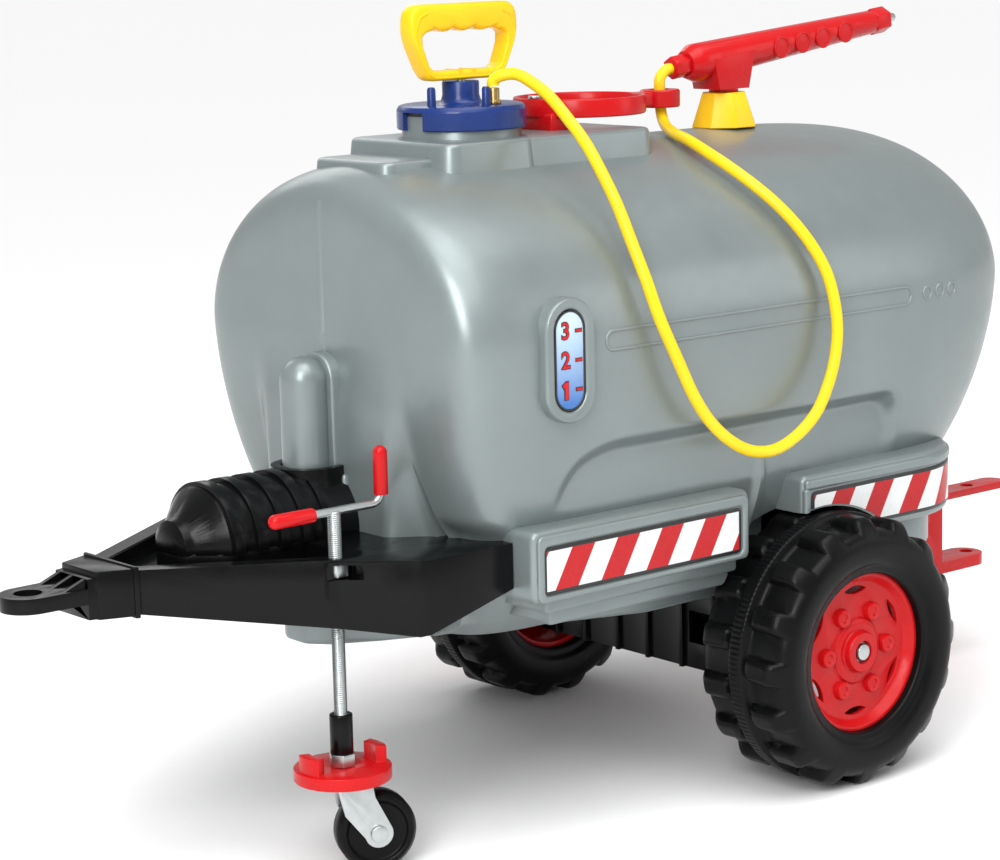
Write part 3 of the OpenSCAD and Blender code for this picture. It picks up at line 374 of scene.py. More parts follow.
def step(x, a, b):
    """0 before a, 1 after b, smooth between."""
    t = np.clip((np.asarray(x, float) - a) / (b - a), 0, 1)
    return t * t * (3 - 2 * t)


def inside(x, a, b, soft):
    """1 between a and b with soft edges, 0 outside."""
    return step(x, a - soft / 2, a + soft / 2) * (1 - step(x, b - soft / 2, b + soft / 2))


def soft_max(a, b, k):
    """Larger of two values, blended where they lie closer than k."""
    h = np.clip(k - np.abs(a - b), 0, None) / k
    return np.maximum(a, b) + h * h * k / 4


def lathe(profile, turns, axis_point, axis, side):
    """Points and faces of a closed ring made by turning (radius, along) round an axis."""
    n = len(profile)
    axis, side = Vector(axis).normalized(), Vector(side).normalized()
    other = axis.cross(side)
    pts = []
    for i in range(turns):
        a = 2 * math.pi * i / turns
        out = side * math.cos(a) + other * math.sin(a)
        pts += [Vector(axis_point) + out * r + axis * h for r, h in profile]
    faces = []
    for i in range(turns):
        here, following = i * n, ((i + 1) % turns) * n
        faces += [(here + k, following + k, following + (k + 1) % n, here + (k + 1) % n) for k in range(n)]
    return pts, faces


def upright(profile, turns, x, y=0):
    """A ring turned round a vertical axis at a place in plan."""
    return lathe(profile, turns, (x, y, 0), UP, ALONG)


# The hose, with the route of the CAD model
HOSE_R = 4.5
ROUTE = [(-202, -30, 543), (-202, -30, 547), (-199, -35, 551), (-192, -45, 552), (-188, -58, 546),
         (-185, -74, 536), (-184, -92, 521), (-183, -110, 504), (-183, -126, 485), (-183, -144, 460),
         (-184, -160, 434), (-183, -174, 407), (-178, -182, 380), (-163, -186, 346), (-150, -187, 321),
         (-134, -187, 300), (-114, -187, 283), (-92, -187, 272), (-68, -187, 269), (-44, -187, 276),
         (-22, -187, 291), (-8, -186, 310), (1, -185, 330), (5, -184, 352), (5, -181, 374), (2, -176, 395),
         (-4, -168, 414), (-12, -156, 433), (-20, -142, 449), (-28, -126, 463), (-34, -108, 475),
         (-37, -88, 485), (-34, -64, 493), (-25, -38, 497), (-13, -15, 502), (-6, -3, 512), (-4, 0, 525),
         (-4, 0, 537), (2, 0, 543.5), (7.6, 0, 544.8)]


def curve_through(points, steps):
    """Smooth curve through points, the same one the CAD model follows."""
    p = np.asarray(points, float)
    out = []
    for i in range(len(p) - 1):
        a, b, c, d = p[max(i - 1, 0)], p[i], p[i + 1], p[min(i + 2, len(p) - 1)]
        for k in range(steps):
            t = k / steps
            out.append(0.5 * (2 * b + (c - a) * t + (2 * a - 5 * b + 4 * c - d) * t * t
                              + (3 * b - 3 * c + d - a) * t ** 3))
    out.append(p[-1])
    return np.array(out)


def tube(path, radius, sides):
    """Points and faces of a round tube along a path, turned as little as can be on the way."""
    n = len(path)
    ahead = [Vector(path[min(i + 1, n - 1)] - path[max(i - 1, 0)]).normalized() for i in range(n)]
    u = ahead[0].orthogonal().normalized()
    pts = []
    for i in range(n):
        if i:
            u = ahead[i - 1].rotation_difference(ahead[i]) @ u
        v = ahead[i].cross(u)
        for k in range(sides):
            a = 2 * math.pi * k / sides
            pts.append(Vector(path[i]) + radius * (math.cos(a) * u + math.sin(a) * v))
    return pts, closed_rows(n, sides)


hose_path = curve_through(ROUTE, 6)
hose_me = new_mesh("hose_tube", *tube(hose_path, HOSE_R, 20))
hose_me.materials.append(vinyl)
finish_mesh(hose_me, 50)
hose = add("hose_tube", hose_me)
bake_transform(hose)
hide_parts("hose")


# Plates and blocks
def rounded_outline(corners, n=6):
    """Outline with each corner (x, z, radius) rounded off."""
    out, count = [], len(corners)
    for i, (x, z, r) in enumerate(corners):
        p, q = Vector((x, z)), Vector(corners[i - 1][:2])
        s = Vector(corners[(i + 1) % count][:2])
        u, v = (q - p).normalized(), (s - p).normalized()
        half = u.angle(v) / 2
        back = min(r / math.tan(half), (q - p).length * 0.49, (s - p).length * 0.49)
        a, b = p + u * back, p + v * back
        for k in range(n + 1):
            t = k / n
            m = a * (1 - t) ** 2 + p * 2 * t * (1 - t) + b * t * t
            out.append((m.x, m.y))
    return out


def cut_out(outlines, thick, edge, place):
    """Points and faces of a plate with rounded edges from flat outlines; the first is its outside."""
    data = bpy.data.curves.new("outline", "CURVE")
    data.dimensions = "2D"
    data.fill_mode = "BOTH"
    data.extrude = thick / 2 - edge
    data.bevel_depth = edge
    data.bevel_resolution = 2
    data.offset = -edge
    for outline in outlines:
        s = data.splines.new("POLY")
        s.points.add(len(outline) - 1)
        for pt, (x, z) in zip(s.points, outline):
            pt.co = (x, z, 0, 1)
        s.use_cyclic_u = True
    ob = add("outline", data)
    me = applied_mesh(ob)
    bm = bmesh.new()
    bm.from_mesh(me)
    bmesh.ops.remove_doubles(bm, verts=bm.verts, dist=0.001)
    pts = [place @ v.co for v in bm.verts]
    faces = [tuple(v.index for v in f.verts) for f in bm.faces]
    bm.free()
    bpy.data.objects.remove(ob)
    bpy.data.curves.remove(data)
    bpy.data.meshes.remove(me)
    return [tuple(v) for v in pts], faces


def standing(x, y, z):
    """Flat outlines stood upright: their X along the trailer, their Y upwards."""
    return Matrix.Translation((x, y, z)) @ Matrix.Rotation(math.pi / 2, 4, "X")


# Tank: one smooth skin with a recess and a seam, and ledges, fenders and ridges set on it
MID_X, MID_Z, HALF_W = -22.0, 369.0, 170.0
CROWN_POWER, BELLY_POWER, FRONT_POWER, REAR_POWER = 1.9, 2.4, 12.0, 4.2
FRONT_DRAFT, REAR_DRAFT = 0.17, 0.335
FRONT, REAR = 345.0 + MID_X, 279.0 - MID_X
CROWN, BELLY = 126.0, 250.0
FENDER_Y = 174.0
RECESS_Y = 155.5


def even_arc(power, width, height, spacing):
    """Quarter of a rounded outline from (width, 0) to (0, height), as unit pairs at an even spacing."""
    a = np.linspace(0, math.pi / 2, 6000)
    c, s = np.cos(a) ** (2 / power), np.sin(a) ** (2 / power)
    run = np.concatenate([[0], np.cumsum(np.hypot(np.diff(c) * width, np.diff(s) * height))])
    at = np.linspace(0, run[-1], max(6, int(round(run[-1] / spacing))) + 1)
    return np.interp(at, run, c), np.interp(at, run, s)


def convex_distance(x, z, corners, soft=22.0):
    """Signed distance to a convex outline with softened corners, negative inside."""
    d = np.full(np.shape(x), -1e9)
    for (ax, az), (bx, bz) in zip(corners, corners[1:] + corners[:1]):
        length = math.hypot(bx - ax, bz - az)
        d = soft_max(d, ((x - ax) * (bz - az) - (z - az) * (bx - ax)) / length, soft)
    return d


def tank_skin():
    """Points and faces of the tank's skin, before the wheel wells and the foot are cut."""
    spacing = 3.0
    cy, cz = even_arc(CROWN_POWER, HALF_W, CROWN, spacing)
    by, bz = even_arc(BELLY_POWER, HALF_W, BELLY, spacing)
    uy = np.concatenate([cy, -cy[::-1][1:], -by[1:], by[::-1][1:-1]])
    uz = np.concatenate([cz * CROWN, cz[::-1][1:] * CROWN, -bz[1:] * BELLY, -bz[::-1][1:-1] * BELLY])
    fa, fs = even_arc(FRONT_POWER, FRONT, HALF_W, spacing)
    ra, rs = even_arc(REAR_POWER, REAR, HALF_W, spacing)
    rows = [(-1, a, s) for a, s in zip(fa[1:], fs[1:])]
    rows += [(1, a, s) for a, s in zip(ra[::-1][1:-1], rs[::-1][1:-1])]
    # the first and last rings are nearly closed, and one face shuts each of them
    pts = []
    for side, along, s in [(-1, fa[0], 0.004)] + rows + [(1, ra[0], 0.004)]:
        z = uz * s
        fall = np.clip(-z / BELLY, 0, None) ** 1.5
        reach, draft = (FRONT, FRONT_DRAFT) if side < 0 else (REAR, REAR_DRAFT)
        x = MID_X + side * reach * along * (1 - draft * fall)
        pts.append(np.stack([x, HALF_W * s * uy, MID_Z + z], 1))
    return raise_features(np.concatenate(pts)), closed_rows(len(pts), len(uy))


RECESS = [(-270, 200), (97, 200), (101, 293), (-232, 293), (-262, 268)]
RIB_X = -52
BOW_X, FACE_X = -348, -285


def raise_features(p):
    """Moves the points of the plain skin to its recess, rib, bow, seam and lobes."""
    x, y, z = p[:, 0].copy(), np.abs(p[:, 1]), p[:, 2].copy()
    sign = np.where(p[:, 1] < 0, -1.0, 1.0)
    # soft recess in the lower flank, with a standing rib in it
    hollow = 1 - step(convex_distance(x, z, RECESS), -10, 1.5)
    floor_y = RECESS_Y - 6 * step(x, -30, 95)
    y = np.where(y > floor_y, y - (y - floor_y) * hollow, y)
    y += 5.0 * (1 - step(np.abs(x - RIB_X), 1.0, 6.5)) * inside(z, 196, 262, 8) * (y > 120)
    # front face: bow, middle seam, and the lobes drawn in at the foot
    face = (x < FACE_X) * (z < 470)
    bow = (1 - step(y, 68, 96)) * (1 - step(z, 312, 362)) * (x < FACE_X)
    x = np.where(x > BOW_X, x - (x - BOW_X) * bow, x)
    x -= 1.4 * face * (1 - step(y, 0.6, 2.6))
    foot = step(z, 246, 229) * step(y, 98, 112) * (z > 215)
    x += 8.0 * face * foot
    return np.stack([x, sign * y, z], 1)


def shell_points(*parts):
    """Joins several (points, faces) into one."""
    pts, faces = [], []
    for p, f in parts:
        base = len(pts)
        pts += [tuple(v) for v in np.asarray(p, float).reshape(-1, 3)]
        faces += [tuple(i + base for i in g) for g in f]
    return pts, faces


def block(x0, x1, y0, y1, z0, z1):
    p = [(x, y, z) for x in (x0, x1) for y in (y0, y1) for z in (z0, z1)]
    return p, [(0, 1, 3, 2), (4, 6, 7, 5), (0, 4, 5, 1), (2, 3, 7, 6), (0, 2, 6, 4), (1, 5, 7, 3)]


def side_block(side, x0, x1, near, far, z0, z1):
    """Block on one side of the trailer, from near to far off the middle line."""
    y0, y1 = sorted((side * near, side * far))
    return block(x0, x1, y0, y1, z0, z1)


def prism(outline, z0, z1):
    """Upright prism over a plan outline that runs anticlockwise seen from above."""
    return [(x, y, z) for z in (z0, z1) for x, y in outline], closed_rows(2, len(outline))


def mirrored(half):
    """Whole plan outline from its near half."""
    return half + [(x, -y) for x, y in half[::-1]]


def arc_points(cx, cy, r, start, end, count):
    """Points along a circle, with the angles in half turns."""
    turns = np.linspace(start * math.pi, end * math.pi, count)
    return [(cx + r * math.cos(a), cy + r * math.sin(a)) for a in turns]


def circle_points(cx, cy, r, sides):
    return arc_points(cx, cy, r, 0, 2, sides + 1)[:-1]


def drum(cx, cy, r, z0, z1, sides=64):
    return prism(circle_points(cx, cy, r, sides), z0, z1)


def wheel_well(side, radius=108.0, depth=128.0, sides=96):
    """Cutter for the wheel's room, from its inner wall outwards."""
    ring = circle_points(0, AXLE_Z, radius, sides)
    p = [(x, side * depth, z) for x, z in ring] + [(x, side * CLEAR, z) for x, z in ring]
    f = closed_rows(2, sides)
    return p, (f if side < 0 else [g[::-1] for g in f])


def cut_by(ob, parts):
    """Takes closed cutters away from a piece."""
    me = new_mesh("cutter", *shell_points(*parts))
    face_outwards(me)
    cutter = add("cutter", me)
    mod = ob.modifiers.new("cut", "BOOLEAN")
    mod.operation = "DIFFERENCE"
    mod.solver = "MANIFOLD"
    mod.object = cutter
    return cutter


def trim(ob, parts, angle):
    """Cuts a finished piece."""
    cutter = cut_by(ob, parts)
    settle(ob, angle)
    bpy.data.objects.remove(cutter)


def closed_piece(name, parts, mat, width=0.0, segments=2, cutters=(), nodes=(), body="chassis",
                 angle=32):
    """A piece of closed shells, with rounded edges and cuts, outside faces outwards."""
    me = new_mesh(name, *shell_points(*parts))
    face_outwards(me)
    ob = add(name, me)
    if width:
        bevel_mod(ob, width, segments)
    made = [cut_by(ob, [c]) for c in cutters]
    settle(ob, angle)
    for c in made:
        data = c.data
        bpy.data.objects.remove(c)
        bpy.data.meshes.remove(data)
    return put(ob, body, nodes, [mat])


WELLS = [wheel_well(-1), wheel_well(1)]
BELLY_Z = 144
NOTCH = block(-520, -295, -CLEAR, CLEAR, 60, BAR_TOP)
UNDER = block(-520, 420, -CLEAR, CLEAR, 40, BELLY_Z)
GAUGE_X, GAUGE_Z = -258.0, 358.0
NECK_X = -209.0


def tube_wall(cx, cy, r_out, r_in, z0, z1, sides=96, soft=1.5):
    """Upright tube with an eased upper edge."""
    prof = [(r_in, z0), (r_out, z0), (r_out, z1 - soft), (r_out - soft * 0.3, z1 - soft * 0.3),
            (r_out - soft, z1), (r_in + soft, z1), (r_in, z1 - soft)]
    return upright(prof, sides, cx, cy)


def crease(side):
    """Wedge that parts the bow from the round lobe beside it, closing to a point at the top."""
    p = [(-350, side * 86, 306), (-372, side * 92, 220), (-372, side * 124, 220), (-290, side * 101, 220)]
    return p, [(0, 1, 2), (0, 2, 3), (0, 3, 1), (1, 3, 2)]


closed_piece("tank_skin", [tank_skin()], silver, 0, 2, WELLS + [NOTCH, UNDER, crease(-1), crease(1)],
             ["tank_shell"], angle=40)


def round_plan(x0, x1, half, r, n=10):
    """Rectangle round the middle line with round corners, seen from above."""
    out = []
    for cx, cy, start in ((x1 - r, half - r, 0), (x0 + r, half - r, 1), (x0 + r, r - half, 2),
                          (x1 - r, r - half, 3)):
        out += arc_points(cx, cy, r, start / 2, (start + 1) / 2, n)
    return out


def drafted(x0, x1, half, r, z0, z1, draft):
    """Block with round corners whose foot is wider than its top."""
    low = round_plan(x0 - draft, x1 + draft, half + draft, r + draft)
    high = round_plan(x0, x1, half, r)
    return [(x, y, z0) for x, y in low] + [(x, y, z1) for x, y in high], closed_rows(2, len(low))


for n, box in (("platform_front", (-272, -187, 62, 12, 455, 506, 6)),
               ("platform_rear", (-215, -66, 60, 12, 455, 505.6, 6)),
               ("platform_ledge", (-317, -240, 44, 10, 440, 495, 5))):
    closed_piece(n, [drafted(*box)], silver, 3.5, 5)


BEND_X, BEND_R = 115, 75


def rear_plan(side, grow):
    """Plan of a rear fender with its round corner, grown outwards."""
    r = BEND_R + grow
    arc = [(BEND_X + r * math.sin(a), FENDER_Y - BEND_R + r * math.cos(a))
           for a in np.linspace(0, math.pi / 2, 20)]
    plan = [(-22 + grow, 110), (-22 + grow, FENDER_Y + grow)] + arc + [(190 + grow, 60), (60, 60), (60, 110)]
    return [(x, side * y) for x, y in (plan if side < 0 else plan[::-1])]


BELLY_HALF = [(-381, 12), (-368, 28), (-335, 46), (-225, 92), (-140, 122), (150, 122), (195, 96), (225, 58)]
closed_piece("tank_belly", [prism(mirrored(BELLY_HALF[::-1]), BELLY_Z, 228.4)], silver, 5, 4, WELLS)


def fender_ring(side):
    """Raised rim round the front film."""
    outer = [(-292, 187, 6), (-83, 187, 6), (-83, 236, 6), (-292, 236, 6)]
    inner = [(-286, 191.4, 5), (-89, 191.4, 5), (-89, 227.6, 5), (-286, 227.6, 5)]
    return cut_out([rounded_outline(outer), rounded_outline(inner)], 7, 1.8,
                   standing(0, side * (FENDER_Y - 1.3), 0))


for side, tag in SIDES:
    well = WELLS[0 if side < 0 else 1]
    for name, shape, width, segments, cutters in (
            ("tank_step_low_", side_block(side, -265, -84, 105, 155, 163, 190), 3, 4, [well]),
            ("tank_step_high_", side_block(side, -276, -84, 105, 164, 175, 190), 3, 4, [well]),
            ("tank_skirt_", drum(BEND_X, side * (FENDER_Y - BEND_R), 60, 158, 190), 3, 4, [well]),
            ("fender_front_", side_block(side, -295, -79, 118, FENDER_Y, 186, 239), 6, 5, [well]),
            ("fender_rear_", prism(rear_plan(side, 0), 186, 240), 6, 5, [well]),
            ("fender_rim_front_", fender_ring(side), 0, 2, []),
            ("fender_rim_rear_", prism(rear_plan(side, 2), 228.2, 236.5), 2.6, 4, [well]),
            ("fender_rim_end_", side_block(side, -21, -15.2, FENDER_Y - 8, FENDER_Y + 2, 188, 230), 2.6, 4,
             [well])):
        closed_piece(name + tag, [shape], silver, width, segments, cutters)


def flank_y(x, z):
    """Half width of the bare tank at a place on its flank."""
    reach, power = (FRONT, FRONT_POWER) if x < MID_X else (REAR, REAR_POWER)
    s = (1 - (abs(x - MID_X) / reach) ** power) ** (1 / power)
    tall, bend = (CROWN, CROWN_POWER) if z > MID_Z else (BELLY, BELLY_POWER)
    return HALF_W * s * (1 - (abs(z - MID_Z) / (tall * s)) ** bend) ** (1 / bend)


def raised_line(outline, side, radius):
    """Thin raised line along a closed (x, z) outline on the flank."""
    path = np.array([(x, side * (flank_y(x, z) - 0.2), z) for x, z in outline + outline[:2]])
    return tube(path, radius, 10)


LINE_Z, LINE_R = 367, 7
for side, tag in SIDES:
    loop = arc_points(99, LINE_Z, LINE_R, -0.5, 0.5, 14)
    loop += [(x, LINE_Z + LINE_R) for x in np.linspace(90, -203, 60)]
    loop += arc_points(-212, LINE_Z, LINE_R, 0.5, 1.5, 14)
    loop += [(x, LINE_Z - LINE_R) for x in np.linspace(-203, 90, 60)]
    closed_piece("side_bar_" + tag, [raised_line(loop, side, 1.25)], silver, angle=60)
    rings = [raised_line(circle_points(x, LINE_Z - 0.5, 5, 28), side, 1.2) for x in (126, 142, 158)]
    closed_piece("side_rings_" + tag, rings, silver, angle=60)

# Neck, nose pillar and gauge bezel
closed_piece("tank_neck", [tube_wall(NECK_X, 0, 45, 39, 480, 523)], silver)
PILLAR_X = -364


def pillar_points(r=17.6, top=338.0):
    """Nose pillar: a round post with a dome."""
    prof = [(r, z) for z in np.linspace(BAR_TOP, top, 14)]
    prof += arc_points(0, top, r, 0, 0.5, 12)[1:-1]
    around = 64
    a = np.linspace(0, 2 * math.pi, around, endpoint=False)
    rings = [np.stack([PILLAR_X + d * np.cos(a), d * np.sin(a), np.full(around, z)], 1) for d, z in prof]
    return np.concatenate(rings), closed_rows(len(prof), around)


ACROSS = Matrix(((0, 0, 1, 0), (1, 0, 0, 0), (0, 1, 0, 0), (0, 0, 0, 1)))
WEB_R = 20.5
web = [(-WEB_R, BAR_TOP), (WEB_R, BAR_TOP)] + arc_points(0, 337, WEB_R, 0, 1, 28)
closed_piece("tank_pillar_web", [cut_out([web], 26, 2.2, Matrix.Translation((-341, 0, 0)) @ ACROSS)], silver,
             angle=45)
closed_piece("tank_pillar", [pillar_points()], silver, angle=45)
rib = [(0.02, BAR_TOP), (3.2, BAR_TOP), (3.2, 266), (2.3, 268.6), (0.02, 269.4)]
for side, tag in SIDES:
    closed_piece("front_rib_" + tag, [upright(rib, 24, -348, side * 25)], silver, angle=50)


def stadium(w, h, count=24):
    """Upright outline with round ends, as (x, z) offsets."""
    r, rise = w / 2, h / 2 - w / 2
    top = arc_points(0, rise, r, 0, 1, count)
    return top + [(-x, -z) for x, z in top]


def bezel_points():
    """Ring with a rounded rim that stands on the flank round the gauge."""
    levels = [(46, 90, 140), (46, 90, 173), (45.4, 89.4, 174.8), (43.6, 87.6, 176), (33.5, 77.5, 176),
              (30.5, 74.5, 175.2), (28.6, 72.6, 173.4), (28, 72, 170.5), (28, 72, 140)]
    pts = [(GAUGE_X + a, -y, GAUGE_Z + b) for w, h, y in levels for a, b in stadium(w, h)]
    return pts, looped_rows(len(levels), len(pts) // len(levels))


closed_piece("gauge_bezel", [bezel_points()], silver, angle=40)


def gauge_plate():
    """Printed insert with an eased edge."""
    out = stadium(28, 72)
    p = [(GAUGE_X + a, -171, GAUGE_Z + b) for a, b in out]
    p += [(GAUGE_X + a * 0.97, -174, GAUGE_Z + b * 0.99) for a, b in out]
    p += [(GAUGE_X + a * 0.9, -174.4, GAUGE_Z + b * 0.96) for a, b in out]
    return p, closed_rows(3, len(out))


# Thin black ring round the edge of the scale: painted shade where the window's recess shades the insert
key = [(GAUGE_X + a, -174.2, GAUGE_Z + b) for a, b in stadium(26.8, 70.8)]
closed_piece("gauge_painted_shadow_ring", [tube(np.array(key + key[:2]), 0.9, 8)], ink_and_painted_shade_black,
             angle=60)
closed_piece("gauge_scale", [gauge_plate()], gauge_mat, nodes=["level_gauge"], angle=50)


# Hazard films, with a black keyline round the stripes
def film(name, node, x0, x1, arc, side):
    """A thin film on the fender; past the bend it follows the rounded corner."""
    z0, tall = 192.0, 35.0
    length = (min(x1, BEND_X) - x0) + arc
    rim_in = [0.0, 0.9, 2.2, 3.0]
    cols = rim_in + list(np.linspace(5, length - 5, max(8, int(length / 4))))
    cols += [length - v for v in rim_in[::-1]]
    levels = rim_in + list(np.linspace(6, tall - 6, 8)) + [tall - v for v in rim_in[::-1]]
    pts, uv = [], []
    for back in (0, 1):
        for v in levels:
            for s in cols:
                off_end, off_edge = min(s, length - s), min(v, tall - v)
                rise = 0.9 * math.sqrt(min(1.0, (min(off_end, off_edge) + 0.15) / 1.4))
                out = FENDER_Y + 0.1 + (0.0 if back else rise)
                corner = max(0.0, 5 - off_end), max(0.0, 5 - off_edge)
                pull = max(0.0, math.hypot(*corner) - 5) if min(corner) > 0 else 0.0
                ss = s + (pull if s < length / 2 else -pull) * 0.7
                vv = v + (pull if v < tall / 2 else -pull) * 0.7
                x = x0 + ss
                if x <= BEND_X:
                    q = (x, side * out, z0 + vv)
                else:
                    a = (x - BEND_X) / BEND_R
                    r = out - (FENDER_Y - BEND_R)
                    q = (BEND_X + r * math.sin(a), side * (FENDER_Y - BEND_R + r * math.cos(a)), z0 + vv)
                pts.append(q)
                uv.append((ss / 100, vv / 100))
    rows, n = len(levels), len(cols)
    faces = grid_faces(rows, n, False)
    back = [tuple(i + rows * n for i in g[::-1]) for g in faces]
    rim = [r * n for r in range(rows)] + [(rows - 1) * n + c for c in range(1, n)] \
        + [r * n + n - 1 for r in range(rows - 2, -1, -1)] + [c for c in range(n - 2, 0, -1)]
    walls = [(a, b, b + rows * n, a + rows * n) for a, b in zip(rim, rim[1:] + rim[:1])]
    me = new_mesh(name, pts, faces + back + walls)
    layer = me.uv_layers.new(name="film")
    for loop in me.loops:
        layer.data[loop.index].uv = uv[loop.vertex_index]
    ob = add(name, me)
    put(ob, "chassis", [node], [hazard, ink_and_painted_shade_black])
    for poly in me.polygons:
        i = poly.index
        if i >= len(faces):
            poly.material_index = 1
            continue
        r, c = divmod(i, n - 1)
        poly.material_index = 1 if r < 3 or c < 3 or r >= rows - 4 or c >= n - 4 else 0
    face_outwards(me)
    finish_mesh(me, 40)
    return ob


for side, tag in SIDES:
    film("film_front_" + tag, "panel_front_" + tag, -287, -90, 0.0, side)
    rear_film = film("film_rear_" + tag, "panel_rear_" + tag, -14, 115, 68.0, side)
    trim(rear_film, [wheel_well(side, 109.5, 100.0)], 40)


# Tyres: a carcass with a bead lip, rounded paddles on both halves of the tread and a narrow hatched band
TYRE_R, TYRE_W, TYRE_FACE = 105, 92, 226
LUGS, LUG_HALF, LUG_RISE, LUG_LEAN = 16, 0.245, 8.0, 0.05


def tyre(side, tag):
    """A tyre from its profile of (radius, depth in from the outer face)."""
    half = [(62, 8), (62.6, 6.2), (64.5, 5.2), (67, 5.0), (69, 4.2), (70.5, 2.6), (73, 1.2), (77, 0.4),
            (81, 0.0), (85, 0.0), (88.5, 0.5), (91.5, 1.8), (93.8, 3.6), (95.4, 5.8), (96.3, 8.2),
            (96.8, 11), (97, 14)]
    half += [(97.1, w) for w in range(17, 33, 3)]
    half += [(97.3, 35), (98.2, 37), (100.5, 38.4), (103.4, 39.4), (104.7, 40.4), (105, 41.8), (105, 44),
             (105, 46)]
    prof = np.array(half + [(r, TYRE_W - w) for r, w in half[::-1][1:]], float)
    around, mid = 640, TYRE_W / 2
    a = np.linspace(0, 2 * math.pi, around, endpoint=False)
    pts = []
    for r, w in prof:
        d = w if w <= mid else TYRE_W - w
        phase = 0.0 if w <= mid else 0.5
        lean = LUG_LEAN * (d / mid)
        turn_at = ((a / (2 * math.pi) * LUGS + phase + lean + 0.5) % 1.0 - 0.5) / LUG_HALF
        across = np.clip(1 - np.abs(turn_at) ** 4.0, 0, None) ** 0.5
        along = float(step(d, 0.5, 13)) * (1 - float(step(d, 34, 38)))
        rise = LUG_RISE * across * along * float(step(r, 88, 95))
        hatch = 0.6 * ((np.arange(around) % 4) < 1) if 41.0 < d else 0.0
        rr = np.minimum(r + rise, TYRE_R) - hatch
        y = np.full(around, side * (TYRE_FACE - w))
        pts.append(np.stack([rr * np.cos(a), y, AXLE_Z + rr * np.sin(a)], 1))
    skin = np.concatenate(pts), looped_rows(len(prof), around)
    closed_piece("tyre_skin_" + tag, [skin], tyre_mat, nodes=["tyre_" + tag], body="wheel_" + tag, angle=48)


for side, tag in SIDES:
    tyre(side, tag)
for side, tag in SIDES:
    dress("rim_" + tag, red, 1.6, 3)
boss = [(2.6, 0), (7.6, 0), (7.2, 4.2), (6.6, 5.2), (5.6, 5.6), (3.6, 5.6), (2.9, 5.0), (2.6, 4.0)]
dome = [(9.0, 0), (27, 0), (25.4, 1.6), (23.2, 2.8), (20.5, 3.4), (17.2, 3.4), (16.2, 4.4), (15.8, 8.0),
        (15.0, 9.2), (9.0, 9.2)]
RIM_FACE, BOSS_RING = 206.5, 33
for side, tag in SIDES:
    out = (0, side, 0)
    parts = []
    for i in range(6):
        a = math.radians(60 * i)
        spot = (BOSS_RING * math.cos(a), side * RIM_FACE, AXLE_Z + BOSS_RING * math.sin(a))
        parts.append(lathe(boss, 32, spot, out, ALONG))
    parts.append(lathe(dome, 64, (0, side * RIM_FACE, AXLE_Z), out, ALONG))
    closed_piece("rim_relief_" + tag, parts, red, body="wheel_" + tag, angle=34)


# Pump handle, with a rim on both faces
def ray_hit(outline, a, centre):
    """Where a ray from a point inside an outline leaves it."""
    d = Vector((math.cos(a), math.sin(a)))
    best = 0.0
    for p, q in zip(outline, outline[1:] + outline[:1]):
        e, w = Vector(q) - Vector(p), Vector(p) - centre
        det = d.x * -e.y + d.y * e.x
        if abs(det) < 1e-9:
            continue
        t, u = (w.x * -e.y + w.y * e.x) / det, (d.x * w.y - d.y * w.x) / det
        if t > 0 and -1e-6 <= u <= 1 + 1e-6:
            best = max(best, t)
    return centre + d * best


def handle_outlines():
    """Outside of the handle and its window with finger hollows, as (x, z)."""
    w, h = 52.0, 57.0
    outer = rounded_outline([(-w + 17, 0, 9), (w - 17, 0, 9), (w, 34, 40), (w - 1, h, 13), (1 - w, h, 13),
                             (-w, 34, 40)], 10)
    top = [(x, 38.6 - 2.6 * abs(math.cos(x * math.pi / 18))) for x in np.linspace(36, -36, 61)]
    side_in = [(-40, 33), (-40, 26), (-34.5, 11), (-29.5, 7.6)]
    window = top + side_in + [(-x, z) for x, z in side_in[::-1]]
    return outer, window


HANDLE_MID = Vector((0.0, 23.0))
HANDLE_Z = 548


def handle_points(around=240, sides=28):
    """Pump handle: a thick rounded band between an outer outline and a window with finger hollows."""
    outer, window = handle_outlines()
    pts = []
    for i in range(around):
        a = 2 * math.pi * i / around
        o, n = ray_hit(outer, a, HANDLE_MID), ray_hit(window, a, HANDLE_MID)
        mid, half = (o + n) / 2, (o - n) / 2
        for k in range(sides):
            b = 2 * math.pi * k / sides
            c, v = math.cos(b), math.sin(b)
            u = math.copysign(abs(c) ** 0.5, c)
            thick = 8.5 * math.copysign(abs(v) ** 0.5, v)
            q = mid + half * u
            pts.append((NECK_X + q.x, thick, HANDLE_Z + q.y))
    return pts, looped_rows(around, sides)


def handle_rim(face):
    """Raised line round the sides and the foot of the handle, on one of its faces."""
    outer, window = handle_outlines()
    path = []
    for a in np.radians(np.linspace(143, 397, 120)):
        o, n = ray_hit(outer, a, HANDLE_MID), ray_hit(window, a, HANDLE_MID)
        q = o + (n - o) * 0.30
        path.append((NECK_X + q.x, face * 7.9, HANDLE_Z + q.y))
    return tube(np.array(path), 1.1, 8)


handle_parts = [handle_points(), handle_rim(-1), handle_rim(1)]
for rib_x in (-6.5, 6.5):
    handle_parts.append(block(NECK_X + rib_x - 1.3, NECK_X + rib_x + 1.3, -8.5, 8.5, 549.5, 556))
closed_piece("handle_grip", handle_parts, yellow, nodes=["pump_handle"], body="pump_plunger", angle=40)

# Cap: smooth skirt with a notch, a waisted collar and two pegs
cap_prof = [(44.5, 525.6), (48.8, 525.6), (48.3, 527.4), (46.8, 529.3), (44.5, 530), (22, 530), (17.6, 530.4),
            (15.6, 531.8), (14.7, 534), (14.0, 537), (14.0, 546), (13.4, 547), (4.2, 547), (4.2, 525.6)]
skirt_prof = [(45.0, 512), (48.0, 512), (48.8, 513), (48.8, 525.6), (45.0, 525.6)]


def part_turn(profile, centre_x, start, end, count):
    """Part of a ring: a profile turned from one angle to another, with shut ends."""
    pts = []
    for a in np.radians(np.linspace(start, end, count)):
        pts += [(centre_x + r * math.cos(a), r * math.sin(a), z) for r, z in profile]
    return pts, closed_rows(count, len(profile))


